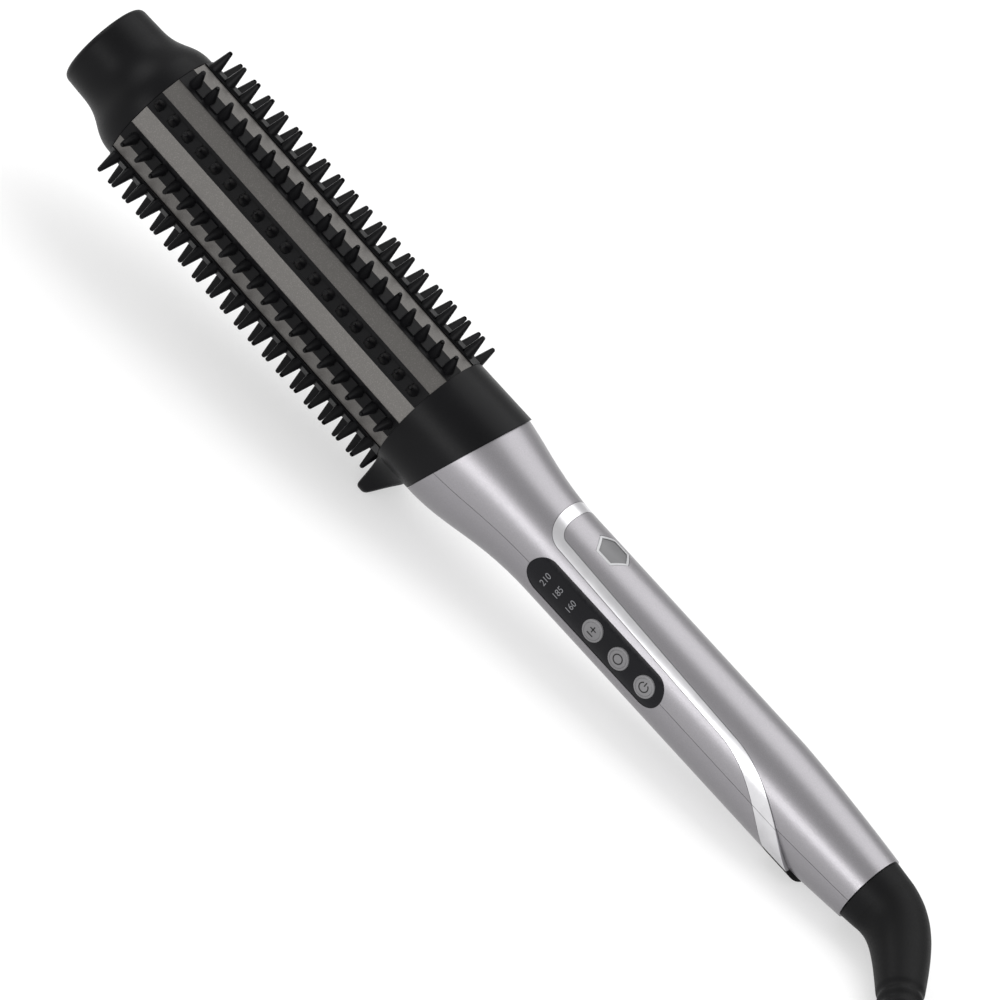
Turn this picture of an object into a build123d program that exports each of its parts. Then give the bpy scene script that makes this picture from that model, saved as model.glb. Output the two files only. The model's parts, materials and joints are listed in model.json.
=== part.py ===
from build123d import *
from math import atan2, cos, degrees, pi, radians, sin, tan
import os

os.makedirs("parts", exist_ok=True)

# Heated round brush for straightening and styling hair, with a swivelling mains lead.
#
# Every piece is drawn on a straight brush lying along X: the tip towards -X, the lead towards +X, the
# status light on top (+Z), the buttons on the -Y side and the rest fin underneath. x = 0 is the front
# end of the heated barrel. At the end the pieces are laid down as the brush rests on a table, on its
# fin and on the pad under its tail. Stations on the handle are measured from the barrel's end.
# Millimetres.

# ---------------------------------------------------------------- driving dimensions

# Clearances
seam = 0.06  # each side of a seam between two mouldings
fit_gap = 0.05  # between a piece and the seat that holds it
running_gap = 0.05  # radial, where one piece turns or slides in another
body_gap = 0.3  # between pieces that move past each other
lay_gap = 0.05  # how far soft pieces stay above the table

# Heated barrel
barrel_flats = 38.0  # across the flats of the ten-sided extrusion
row_count = 10  # bristle rows, one on each corner
heated_length = 115.4
barrel_bore = 30.4
slot_mouth = 4.2  # dovetail slot for a bristle strip, at the corner
slot_root = 6.0
slot_depth = 2.6

# Bristle strips
bristle_pitch = 6.05
bristle_start = 2.5  # first bristle from the strip's end; alternate strips are turned end for end
bristle_count = 1 + int((heated_length - 2 * bristle_start) / bristle_pitch)
strip_crown = 19.5  # radius of the strip's outer face
block_crown = 20.1  # radius of the blocks between the bristles
block_length = 3.1
block_width = 3.4
bristle_reach = 26.4  # radius at the bristle tips
bristle_root_width = 3.9
bristle_tip_width = 1.3

# Cool tip
cap_length = 26.0
cap_seam_radius = 19.2
cap_neck_radius = 14.7
cap_flare_length = 17.0  # from the seam to where the neck is straight
cap_shoulder = 1.0
cap_wall = 2.0
cap_rim_round = 1.0
end_disc_radius = 10.5
end_disc_thickness = 1.2
end_disc_sink = 0.3
tip_web = 1.6  # wall that the tip screw clamps
tip_screw_radius = 1.5
tip_screw_head = 2.8
tip_screw_head_height = 1.6
tip_screw_length = 11.0

# Insulating holders at the ends of the barrel
holder_plug = 9.0  # length inside the barrel's bore
holder_flange_radius = 16.9
holder_flange = 2.5
holder_boss_radius = 4.5
holder_bore = 17.0  # way through for the leads, at the handle end
holder_sleeve_radius = 13.0
holder_sleeve = 8.0

# Heater in the barrel
core_wall = 2.6
core_gap = 0.1  # between a core and the bore
heater_width = 22.0
heater_thickness = 4.2
heater_length = 84.0
fuse_radius = 2.0
fuse_length = 11.0
sensor_size = 3.0
sensor_length = 6.0

# Collar with the rest fin
collar_radius = 19.4
collar_length = 16.7  # to the middle of its slanted rear seam
collar_slant = 17.2  # degrees, longer on top
spigot_wall = 1.8  # inner lip that the handle shells seat over
spigot_length = 9.0
fin_reach = 30.0  # from the axis to the foot, at the front of the fin
fin_foot_width = 20.0
fin_root_width = 24.0
fin_corner = 3.0
fin_thickness = 2.4  # at the foot, along the brush
fin_root_length = 9.8  # at the collar

# Handle
handle_bend = 1.2  # degrees the handle rises from the barrel's axis
handle_radius = 14.2
funnel_start = heated_length + 13.6
funnel_end = heated_length + 56.6
tail_start = heated_length + 142.6
tail_end = heated_length + 185.1
tail_radius = 11.3
shell_wall = 2.2
skin = 1.1  # thickness of the top cover and the trim, which lie in a recess of the shells
rib_thickness = 1.4
rib_height = 2.6

# Side outlines of the trim, as heights above the handle's axis and stations along it
arch_front = heated_length + 48.6  # where the trim crosses the top of the handle
arch_width = 4.1
arch_round = 8.0
rail_bottom = 8.6  # height of the rail's lower edge at the arch
rail_width = 2.3
rail_fall = 1.26  # degrees that the rails come down towards the tail
sweep_front = heated_length + 146.6  # where the rail's lower edge turns down
sweep_front_angle = 59.5
sweep_front_radius = 36.0
sweep_rear = heated_length + 152.5  # where the rail's upper edge turns down
sweep_rear_angle = 53.0
sweep_rear_radius = 45.0
pad_height = 9.6  # the pad fills the trim below this depth under the axis

# Control panel and buttons
panel_centre = heated_length + 80.8
panel_length = 54.7
panel_width = 11.6
panel_sink = 0.15
panel_back = 11.0  # distance of its flat back from the mid-plane
button_diameter = 6.9
button_first = heated_length + 79.9
button_pitch = 10.85
button_count = 3
button_face = 14.45  # distance of the button's face from the mid-plane
button_flange_radius = 4.2
button_flange = 0.9
button_round = 0.35
switch_size = 6.0
switch_height = 1.5
plunger_radius = 1.5
plunger_height = 0.4
post_radius = 1.35
post_offset = 3.9  # of the board posts from the middle of the panel
board_screw_radius = 0.7
board_screw_head = 1.3
board_screw_head_height = 0.9
guide_front = heated_length + 56.5  # light guide behind the temperature figures
guide_length = 17.0
guide_height = 7.2
guide_cell = 4.2

# Boards
control_board_front = heated_length + 55.5
control_board_length = 51.6
control_board_height = 16.0
board_thickness = 1.4
board_face = 7.5  # distance of the control board's outer face from the mid-plane
power_board_front = heated_length + 74.6
power_board_length = 60.0
power_board_offset = 3.2  # of its near face, on the far side of the mid-plane
link_front = heated_length + 87.6
link_length = 9.0
link_height = 5.0
capacitor_front = heated_length + 112.6
capacitor_size = (17.0, 7.5, 11.0)
triac_front = heated_length + 90.6
triac_size = (10.0, 4.4, 15.0)
lead_radius = 1.0
lead_spacing = 6.0
thin_wire_radius = 0.5
power_exit = heated_length + 26.0  # where the power leads leave the barrel's axis
thin_exit = heated_length + 14.0  # where the thin wires leave their straight run
wire_landing = 9.0  # how far a wire lies on its board
power_run_up = 22.0  # straight run before the power board
fuse_run_up = 16.0
sensor_run_up = 6.0
sensor_landing = 8.0
wire_start = 4.0  # from the end of the piece that a thin wire leaves
mains_landing = 8.0
mains_run_out = 6.0
thin_wire_way = 4.3  # how far the thin wires pass beside the axis in the holder

# Status light
lens_centre = heated_length + 66.7
lens_width = 10.4  # across the flats, round the handle
light_pipe_radius = 3.4
light_pipe_flange = 4.6
light_pipe_drop = 9.3  # height of the light pipe's lower end
status_board_size = (12.0, 9.6, 1.2)

# Screws through the upper shell, under the top cover
shell_screw_places = (58.0, 106.1, 138.6, 153.1)  # from the barrel's end
boss_radius = 2.5
screw_radius = 0.9
screw_head_radius = 1.9
screw_head_height = 1.1
screw_depth = 8.0  # into the lower shell

# Lead swivel
socket_length = 9.0
socket_inset = 1.0  # from the tail's end
spigot_radius = 7.0
flange_radius = 8.4
flange_thickness = 2.4
cup_radius = 10.8
cup_length = 5.0
shaft_radius = 3.4
shaft_length = 11.0
ring_radius = 4.4
ring_width = 2.0
ring_spacing = 4.4
carrier_thickness = 3.0

# Boot, lead, coil and plug. Places on the table are measured from the middle of the swivel's cup.
boot_start_radius = 10.3
boot_end_radius = 5.0
boot_corner = 9.2  # straight on from the cup to where the boot turns
boot_bend_radius = 18.0
boot_end_place = (37.5, -36.2)
lead_diameter = 6.5
lead_places = ((45.7, -46.3, 3.9), (54.6, -55.8, 3.9), (62.7, -63.0, 3.9))
coil_place = (94.7, -30.0)
coil_mean_radius = 35.75
coil_layers = (4, 3, 1)  # turns in each layer, from the table up
coil_lift = 0.65
tie_width = 9.0
tie_thickness = 0.5
tie_bearing = 120.0
plug_bearing = 71.0  # the way the plug points, as it lies on the coil
plug_bend_radius = 32.5  # of the lead as it leaves the top turn for the plug
plug_bend_step = 20.0  # degrees between the points of its route
plug_lead_rise = (0.0, 0.8, 3.2, 6.4, 9.0, 10.0)  # height of those points over the top turn
plug_length = 30.0
plug_shoulder = 16.0
plug_width = 32.0
plug_thickness = 13.0
plug_neck = 14.0
plug_neck_radius = 4.6
plug_round = 5.0
pin_radius = 2.0
pin_length = 19.0
pin_spacing = 18.6

# ---------------------------------------------------------------- derived sizes

barrel_radius = barrel_flats / 2
corner_angle = 360 / row_count
corner_radius = barrel_radius / cos(radians(corner_angle / 2))
slot_floor = corner_radius - slot_depth
bore_radius = barrel_bore / 2
strip_length = heated_length - 2 * fit_gap
bristle_span = (bristle_count - 1) * bristle_pitch
collar_front = heated_length
seam_middle = collar_front + collar_length
seam_slope = tan(radians(collar_slant))
inner_inset = shell_wall
recess_inset = skin + fit_gap
rail_slope = tan(radians(rail_fall))
reach = 2 * handle_radius  # comfortably outside the handle, for cutting outlines
core_front = holder_plug + body_gap
core_length = heated_length - 2 * core_front
core_radius = bore_radius - core_gap
core_flat = heater_thickness / 2 + fit_gap
button_stations = [button_first + i * button_pitch for i in range(button_count)]
board_back = board_face - board_thickness
cup_front = tail_end + body_gap
shell_screw_stations = [heated_length + place for place in shell_screw_places]


# ---------------------------------------------------------------- shared forms


def handle_form(inset, tapered=True):
    """The turned body of the handle, `inset` below its surface; untapered, it stays full to the end."""
    end_radius = tail_radius if tapered else handle_radius
    bulge = handle_radius - 0.5 if tapered else handle_radius
    with BuildPart() as form:
        with BuildSketch(Plane.XZ):
            with BuildLine():
                mouth = Line((collar_front, collar_radius - inset), (funnel_start, collar_radius - inset))
                Bezier(
                    mouth @ 1,
                    (funnel_start + 15, collar_radius - 0.4 - inset),
                    (funnel_start + 22, handle_radius - inset),
                    (funnel_end, handle_radius - inset),
                )
                Line((funnel_end, handle_radius - inset), (tail_start, handle_radius - inset))
                tail = Bezier(
                    (tail_start, handle_radius - inset),
                    (tail_start + 17, bulge - inset),
                    (tail_end, end_radius - inset),
                )
                Polyline(tail @ 1, (tail_end, 0), (collar_front, 0), mouth @ 0)
            make_face()
        revolve(axis=Axis.X)
    return form.part


def front_edge():
    """Side view of the trim's edge against the shells: over the top, along the handle and down."""
    knee = (sweep_front, rail_bottom - rail_slope * (sweep_front - arch_front))
    return (
        (arch_front, reach),
        (arch_front, rail_bottom),
        knee,
        (knee[0] + (knee[1] + reach) / tan(radians(sweep_front_angle)), -reach),
    )


def rear_edge():
    """Side view of the trim's edge against the top cover and the tail."""
    start = arch_front + arch_width
    knee = (sweep_rear, rail_bottom + rail_width - rail_slope * (sweep_rear - arch_front))
    return (
        (start, reach),
        (start, rail_bottom + rail_width - rail_slope * arch_width),
        knee,
        (knee[0] + (knee[1] + reach) / tan(radians(sweep_rear_angle)), -reach),
    )


def side_slab(edge, sweep_radius, corner_radius, far_x, shrink=0.0):
    """Everything between an edge of the trim and a far end, right through the handle."""
    with BuildPart() as slab:
        with BuildSketch(Plane.XZ):
            with BuildLine():
                line = FilletPolyline(*edge, radius=(corner_radius, sweep_radius))
                Polyline(line @ 1, (far_x, -reach), (far_x, reach), line @ 0)
            make_face()
            if shrink:
                offset(amount=-shrink)
        extrude(amount=reach, both=True)
    return slab.part


def before_trim(shrink=0.0):
    return side_slab(front_edge(), sweep_front_radius, arch_round, collar_front - reach, shrink)


def behind_front_edge(shrink=0.0):
    return side_slab(front_edge(), sweep_front_radius, arch_round, tail_end + reach, shrink)


def behind_trim(shrink=0.0):
    return side_slab(rear_edge(), sweep_rear_radius, arch_round / 2, tail_end + reach, shrink)


def half_space(above, gap=seam):
    """The upper or lower half of the handle, up to the parting plane less a seam."""
    with BuildPart() as half:
        with BuildSketch(Plane.XY.offset(gap if above else -gap)):
            Rectangle(4 * tail_end, 4 * reach)
        extrude(amount=2 * reach if above else -2 * reach)
    return half.part


slant_plane = Plane(origin=(seam_middle, 0, 0), z_dir=(1, 0, -seam_slope))
shell_start = Plane(origin=(seam_middle + 2 * seam, 0, 0), z_dir=(1, 0, -seam_slope))

straight_form = handle_form(0, tapered=False)
tapered_form = handle_form(0)
recess_form = handle_form(recess_inset)
inner_form = handle_form(inner_inset)

barrel_parts = {}  # pieces on the barrel's axis
handle_parts = {}  # pieces on the handle's axis
lead_parts = {}  # pieces that lie on the table

# ---------------------------------------------------------------- heated barrel

with BuildPart() as heated_barrel:
    with BuildSketch(Plane.YZ):
        RegularPolygon(radius=barrel_radius, side_count=row_count, major_radius=False)
        Circle(bore_radius, mode=Mode.SUBTRACT)
        with PolarLocations(0, row_count):
            Polygon(
                (slot_floor, -slot_root / 2),
                (corner_radius + 1, -slot_mouth / 2),
                (corner_radius + 1, slot_mouth / 2),
                (slot_floor, slot_root / 2),
                align=None,
                mode=Mode.SUBTRACT,
            )
    extrude(amount=heated_length)
barrel_parts["heated_barrel"] = heated_barrel.part

# One strip, drawn on top of the barrel. Its dovetail foot slides into a corner slot, low blocks stand
# along its crown and a tapered bristle stands in each gap between them.
mouth_flare = (slot_root - slot_mouth) / 2 / (corner_radius + 1 - slot_floor)
strip_foot = slot_root / 2 - fit_gap
strip_top_half = slot_root / 2 - mouth_flare * (strip_crown - slot_floor) - fit_gap
bristle_height = bristle_reach - strip_crown
bristle_taper = degrees(atan2((bristle_root_width - bristle_tip_width) / 2, bristle_height))
middle_bristle = bristle_start + bristle_span / 2

with BuildPart() as bristle_strip:
    with BuildSketch(Plane.YZ.offset(fit_gap)):
        Polygon(
            (-strip_foot, slot_floor + fit_gap),
            (strip_foot, slot_floor + fit_gap),
            (strip_top_half, strip_crown),
            (-strip_top_half, strip_crown),
            align=None,
        )
    extrude(amount=strip_length)
    with BuildSketch(Plane.XY.offset(strip_crown)):
        with Locations((middle_bristle, 0)):
            with GridLocations(bristle_pitch, bristle_pitch, bristle_count - 1, 1):
                Rectangle(block_length, block_width)
    extrude(amount=block_crown - strip_crown)
    with BuildSketch(Plane.XY.offset(strip_crown)):
        with Locations((middle_bristle, 0)):
            with GridLocations(bristle_pitch, bristle_pitch, bristle_count, 1):
                RegularPolygon(bristle_root_width / 2, 8, major_radius=False, rotation=22.5)
    extrude(amount=bristle_height, taper=bristle_taper)

for row in range(row_count):
    strip = bristle_strip.part
    if row % 2 == 0:
        strip = strip.mirror(Plane.YZ.offset(heated_length / 2))
    barrel_parts[f"bristle_strip_{row + 1:02d}"] = strip.rotate(Axis.X, corner_angle * (row + 0.5))

# ---------------------------------------------------------------- cool tip

web_back = -cap_length + end_disc_thickness + end_disc_sink + tip_screw_head_height + tip_web


def cap_outline(inset):
    """Flared side of the tip cap, `inset` below its surface."""
    return Bezier(
        (-cap_shoulder, cap_seam_radius - inset),
        (-cap_flare_length * 0.48, cap_seam_radius - inset),
        (-cap_flare_length * 0.53, cap_neck_radius + 0.3 - inset),
        (-cap_flare_length, cap_neck_radius - inset),
    )


with BuildPart() as tip_cap:
    with BuildSketch(Plane.XZ) as cap_half:
        with BuildLine():
            flare = cap_outline(0)
            Polyline(flare @ 0, (-fit_gap, cap_seam_radius), (-fit_gap, 0))
            Polyline(flare @ 1, (-cap_length, cap_neck_radius - 0.3), (-cap_length, 0), (-fit_gap, 0))
        make_face()
        rim = cap_half.vertices().sort_by(Axis.X)[:2].sort_by(Axis.Y)[-1]
        fillet(rim, cap_rim_round)
    revolve(axis=Axis.X)
    with BuildSketch(Plane.XZ):
        with BuildLine():
            flare = cap_outline(cap_wall)
            Polyline(flare @ 0, (-fit_gap, cap_seam_radius - cap_wall), (-fit_gap, 0))
            Polyline(flare @ 1, (web_back, cap_neck_radius - cap_wall), (web_back, 0), (-fit_gap, 0))
        make_face()
    revolve(axis=Axis.X, mode=Mode.SUBTRACT)
    with BuildSketch(Plane.YZ.offset(-cap_length)):
        Circle(end_disc_radius + fit_gap)
    extrude(amount=end_disc_thickness + end_disc_sink, mode=Mode.SUBTRACT)
    with BuildSketch(Plane.YZ.offset(-cap_length)):
        Circle(tip_screw_head + body_gap)
    extrude(amount=end_disc_thickness + end_disc_sink + tip_screw_head_height, mode=Mode.SUBTRACT)
    with BuildSketch(Plane.YZ.offset(-cap_length)):
        Circle(tip_screw_radius + running_gap)
    extrude(amount=cap_length / 2, mode=Mode.SUBTRACT)
barrel_parts["tip_cap"] = tip_cap.part

with BuildPart() as tip_end_disc:
    with BuildSketch(Plane.YZ.offset(-cap_length + end_disc_sink)):
        Circle(end_disc_radius)
    extrude(amount=end_disc_thickness)
    fillet(tip_end_disc.edges().sort_by(Axis.X)[0], 0.4)
barrel_parts["tip_end_disc"] = tip_end_disc.part

with BuildPart() as front_holder:
    with BuildSketch(Plane.YZ.offset(-holder_flange)):
        Circle(holder_flange_radius)
    extrude(amount=holder_flange)
    with BuildSketch(Plane.YZ):
        Circle(bore_radius - fit_gap)
    extrude(amount=holder_plug)
    with BuildSketch(Plane.YZ.offset(web_back)):
        Circle(holder_boss_radius)
    extrude(amount=-web_back)
    with BuildSketch(Plane.YZ.offset(web_back)):
        Circle(tip_screw_radius + fit_gap)
    extrude(amount=tip_screw_length, mode=Mode.SUBTRACT)
    with BuildSketch(Plane.YZ.offset(holder_plug)):
        Circle(bore_radius - cap_wall)
        Circle(holder_boss_radius, mode=Mode.SUBTRACT)
    extrude(amount=-(holder_plug - 1.5), mode=Mode.SUBTRACT)
barrel_parts["front_holder"] = front_holder.part

with BuildPart() as tip_screw:
    with BuildSketch(Plane.YZ.offset(web_back - tip_web)):
        Circle(tip_screw_radius)
    extrude(amount=tip_screw_length)
    with BuildSketch(Plane.YZ.offset(web_back - tip_web)):
        Circle(tip_screw_head)
    extrude(amount=-(tip_screw_head_height - fit_gap))
    with BuildSketch(Plane.YZ.offset(web_back - tip_web - tip_screw_head_height + fit_gap)):
        RegularPolygon(1.2, 6)
    extrude(amount=0.9, mode=Mode.SUBTRACT)
barrel_parts["tip_screw"] = tip_screw.part

# ---------------------------------------------------------------- heater

with BuildPart() as heater_core_upper:
    with BuildSketch(Plane.YZ.offset(core_front)) as core_section:
        Circle(core_radius)
        with Locations((0, core_flat - core_radius)):
            Rectangle(4 * core_radius, 2 * core_radius, mode=Mode.SUBTRACT)
    extrude(amount=core_length)
    with BuildSketch(Plane.YZ.offset(core_front)):
        Circle(core_radius - core_wall)
        with Locations((0, core_flat + core_wall - core_radius)):
            Rectangle(4 * core_radius, 2 * core_radius, mode=Mode.SUBTRACT)
        with Locations((0, core_radius / 2)):
            Rectangle(core_wall / 2, core_radius, mode=Mode.SUBTRACT)
    extrude(amount=core_length, mode=Mode.SUBTRACT)
barrel_parts["heater_core_upper"] = heater_core_upper.part
barrel_parts["heater_core_lower"] = heater_core_upper.part.mirror(Plane.XY)

heater_front = (heated_length - heater_length) / 2
with BuildPart() as ptc_heater:
    with BuildSketch(Plane.YZ.offset(heater_front)):
        RectangleRounded(heater_width, heater_thickness, 0.8)
    extrude(amount=heater_length)
barrel_parts["ptc_heater"] = ptc_heater.part

# The fuse and the sensor lie in the hollows of the cores, on the flat over the heater.
hollow_floor = core_flat + core_wall
sensor_front = heated_length / 2
with BuildPart() as thermal_fuse:
    with BuildSketch(Plane.YZ.offset(sensor_front)):
        with Locations((core_radius / 2, -hollow_floor - fuse_radius)):
            Circle(fuse_radius)
    extrude(amount=fuse_length)
barrel_parts["thermal_fuse"] = thermal_fuse.part

with BuildPart() as temperature_sensor:
    with BuildSketch(Plane.YZ.offset(sensor_front)):
        with Locations((-core_radius / 2, hollow_floor + sensor_size / 2)):
            Rectangle(sensor_size, sensor_size)
    extrude(amount=sensor_length)
    fillet(temperature_sensor.edges().filter_by(Axis.X), 0.6)
barrel_parts["temperature_sensor"] = temperature_sensor.part

with BuildPart() as rear_holder:
    with BuildSketch(Plane.YZ.offset(heated_length - holder_plug)):
        Circle(bore_radius - fit_gap)
    extrude(amount=holder_plug)
    with BuildSketch(Plane.YZ.offset(heated_length)):
        Circle(holder_flange_radius)
    extrude(amount=holder_flange)
    with BuildSketch(Plane.YZ.offset(heated_length)):
        Circle(holder_sleeve_radius)
    extrude(amount=holder_flange + holder_sleeve)
    with BuildSketch(Plane.YZ.offset(heated_length - holder_plug)):
        Circle(holder_bore / 2)
    extrude(amount=holder_plug + holder_flange + holder_sleeve, mode=Mode.SUBTRACT)
barrel_parts["rear_holder"] = rear_holder.part

# ---------------------------------------------------------------- how the brush rests

# The table touches the foot of the fin and the rear edge of the pad under the tail.
pad_edge = rear_edge()[2]
pad_rear = pad_edge[0] + (pad_edge[1] + handle_radius) / tan(radians(sweep_rear_angle)) - seam
rest_angle = degrees(atan2(fin_reach - handle_radius, pad_rear - collar_front))
table_plane = Plane(
    origin=(pad_rear, 0, -handle_radius),
    x_dir=(cos(radians(rest_angle)), 0, sin(radians(rest_angle))),
    z_dir=(-sin(radians(rest_angle)), 0, cos(radians(rest_angle))),
)

# ---------------------------------------------------------------- collar

# The barrel meets the collar square to its own axis, which dips below the handle's by the bend.
barrel_end = Plane(
    origin=(collar_front, 0, 0),
    z_dir=(cos(radians(handle_bend)), 0, -sin(radians(handle_bend))),
)
collar_start = collar_front - 1.0
seat_depth = holder_flange + 2 * fit_gap
lip_inset = inner_inset + fit_gap

with BuildPart() as collar:
    with BuildSketch(Plane.YZ.offset(collar_start)):
        Circle(collar_radius)
    extrude(amount=collar_length + collar_radius)
    split(bisect_by=slant_plane, keep=Keep.BOTTOM)
    # lip that goes into the handle shells
    add(handle_form(lip_inset))
    with BuildSketch(Plane.YZ.offset(collar_start)):
        Circle(2 * collar_radius)
    extrude(amount=collar_length + 1.0 + spigot_length, mode=Mode.INTERSECT)
    add(handle_form(lip_inset + spigot_wall), mode=Mode.SUBTRACT)
    # seat for the holder's flange, square to the barrel
    with BuildSketch(barrel_end):
        Circle(holder_flange_radius + body_gap)
    extrude(amount=seat_depth, mode=Mode.SUBTRACT)
    # rest fin: a tab across the brush, thin at the foot and running out along the collar
    with BuildSketch(Plane.XZ):
        with BuildLine():
            rear = Bezier(
                (collar_front + fin_thickness, -fin_reach),
                (collar_front + fin_thickness * 1.8, -fin_reach + 5),
                (collar_front + fin_thickness * 2.4, -collar_radius - 0.6),
                (collar_front + fin_root_length, -collar_radius + 0.6),
            )
            Polyline(
                rear @ 0,
                (collar_front + fin_thickness, -fin_reach - 2),
                (collar_start, -fin_reach - 2),
                (collar_start, -collar_radius + 1.2),
                (collar_front + fin_root_length, -collar_radius + 1.2),
                rear @ 1,
            )
        make_face()
    extrude(amount=fin_root_width / 2, both=True)
    with BuildSketch(Plane.YZ.offset(collar_start)) as tab:
        Circle(collar_radius)
        Polygon(
            (-fin_root_width / 2, 0),
            (fin_root_width / 2, 0),
            (fin_foot_width / 2, -fin_reach),
            (-fin_foot_width / 2, -fin_reach),
            align=None,
        )
        fillet(tab.vertices().group_by(Axis.Y)[0], fin_corner)
    extrude(amount=collar_length + 1.0 + spigot_length, mode=Mode.INTERSECT)
    split(bisect_by=barrel_end)
    split(bisect_by=table_plane)
handle_parts["collar"] = collar.part

# ---------------------------------------------------------------- handle shells


def panel_opening(grow=0.0):
    with BuildPart() as opening:
        with BuildSketch(Plane.XZ):
            with Locations((panel_centre, 0)):
                SlotOverall(panel_length + 2 * grow, panel_width + 2 * grow)
        extrude(amount=reach)
    return opening.part


rib_stations = (power_board_front + 4, power_board_front + power_board_length - 6)
screw_places = [(station, 0) for station in shell_screw_stations]
head_seat = handle_radius - recess_inset - 1.9  # height of the seats under the screw heads
rib_chord = 2 * (handle_radius - inner_inset - rib_height)

# Bosses for the shell screws, and ribs across the top and the bottom that are notched for the power
# board. They end inside the thickness of the shells.
with BuildPart() as insides:
    with BuildSketch(Plane.XY):
        with Locations(*screw_places):
            Circle(boss_radius)
    extrude(amount=handle_radius, both=True)
    for station in rib_stations:
        with BuildSketch(Plane.YZ.offset(station)):
            Circle(handle_radius)
            Rectangle(4 * handle_radius, rib_chord, mode=Mode.SUBTRACT)
            with Locations((power_board_offset + board_thickness / 2, 0)):
                Rectangle(board_thickness + 2 * fit_gap, 4 * handle_radius, mode=Mode.SUBTRACT)
        extrude(amount=rib_thickness)
    add(handle_form((recess_inset + inner_inset) / 2), mode=Mode.INTERSECT)
shell_insides = insides.part

with BuildPart() as outside_blank:
    add(straight_form)
    add(before_trim(seam), mode=Mode.INTERSECT)
    add(recess_form)
shell_outside = outside_blank.part

with BuildPart() as upper_shell:
    add(shell_outside)
    add(inner_form, mode=Mode.SUBTRACT)
    add(shell_insides)
    add(half_space(True), mode=Mode.INTERSECT)
    split(bisect_by=shell_start)
    with BuildSketch(Plane.XY):
        with Locations(*screw_places):
            Circle(screw_radius + body_gap)
    extrude(amount=reach, mode=Mode.SUBTRACT)
    with BuildSketch(Plane.XY.offset(head_seat)):
        with Locations(*screw_places):
            Circle(screw_head_radius + fit_gap)
    extrude(amount=reach, mode=Mode.SUBTRACT)
    with BuildSketch(Plane.XY):
        with Locations((lens_centre, 0)):
            Circle(light_pipe_radius + fit_gap)
    extrude(amount=reach, mode=Mode.SUBTRACT)
    add(panel_opening(), mode=Mode.SUBTRACT)
handle_parts["upper_shell"] = upper_shell.part

with BuildPart() as lower_shell:
    add(tapered_form)
    add(behind_trim(seam), mode=Mode.INTERSECT)
    add(shell_outside)
    add(inner_form, mode=Mode.SUBTRACT)
    add(shell_insides)
    add(half_space(False), mode=Mode.INTERSECT)
    split(bisect_by=shell_start)
    with BuildSketch(Plane.XY):
        with Locations(*screw_places):
            Circle(screw_radius + fit_gap)
    extrude(amount=-screw_depth - body_gap, mode=Mode.SUBTRACT)
    add(panel_opening(), mode=Mode.SUBTRACT)
handle_parts["lower_shell"] = lower_shell.part

with BuildPart() as top_cover:
    add(tapered_form)
    add(handle_form(skin), mode=Mode.SUBTRACT)
    add(behind_trim(seam), mode=Mode.INTERSECT)
    add(half_space(True), mode=Mode.INTERSECT)
    with BuildSketch(Plane.XY.offset(handle_radius / 2)):
        with Locations((lens_centre, 0)):
            RegularPolygon(lens_width / 2 + fit_gap, 6, major_radius=False)
    extrude(amount=reach, mode=Mode.SUBTRACT)
handle_parts["top_cover"] = top_cover.part

# Chrome trim: one band over the arch and down both sides to the parting plane, two short pieces below
# it, and the soft pad that joins them under the tail.
with BuildPart() as trim_ring:
    add(straight_form)
    add(handle_form(skin), mode=Mode.SUBTRACT)
    add(behind_front_edge(seam), mode=Mode.INTERSECT)
    add(behind_trim(-seam), mode=Mode.SUBTRACT)

with BuildPart() as trim_band:
    add(trim_ring.part)
    add(half_space(True), mode=Mode.INTERSECT)
handle_parts["trim_band"] = trim_band.part

with BuildPart() as lower_trims:
    add(trim_ring.part)
    add(half_space(False), mode=Mode.INTERSECT)
    split(bisect_by=Plane.XY.offset(-pad_height + seam))
left_trim, right_trim = lower_trims.solids().sort_by(Axis.Y)
handle_parts["trim_foot_left"] = left_trim
handle_parts["trim_foot_right"] = right_trim

with BuildPart() as rest_pad:
    add(trim_ring.part)
    split(bisect_by=Plane.XY.offset(-pad_height - seam), keep=Keep.BOTTOM)
handle_parts["rest_pad"] = rest_pad.part

with BuildPart() as shell_screws:
    with BuildSketch(Plane.XY.offset(-screw_depth)):
        with Locations(*screw_places):
            Circle(screw_radius)
    extrude(amount=screw_depth + head_seat)
    with BuildSketch(Plane.XY.offset(head_seat)):
        with Locations(*screw_places):
            Circle(screw_head_radius)
    extrude(amount=screw_head_height)
handle_parts["shell_screws"] = shell_screws.part

# ---------------------------------------------------------------- control panel and boards

post_stations = [(a + b) / 2 for a, b in zip(button_stations, button_stations[1:])]
post_places = [(x, z) for x in post_stations for z in (-post_offset, post_offset)]

with BuildPart() as control_panel:
    with BuildSketch(Plane.XZ.offset(panel_back)):
        with Locations((panel_centre, 0)):
            SlotOverall(panel_length - 2 * fit_gap, panel_width - 2 * fit_gap)
    extrude(amount=reach)
    add(handle_form(panel_sink), mode=Mode.INTERSECT)
    with BuildSketch(Plane.XZ.offset(panel_back)):
        with Locations(*[(x, 0) for x in button_stations]):
            Circle(button_diameter / 2 + running_gap)
    extrude(amount=reach, mode=Mode.SUBTRACT)
    with BuildSketch(Plane.XZ.offset(board_face)):
        with Locations(*post_places):
            Circle(post_radius)
            Circle(board_screw_radius + fit_gap, mode=Mode.SUBTRACT)
    extrude(amount=panel_back - board_face)
handle_parts["control_panel"] = control_panel.part

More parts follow.
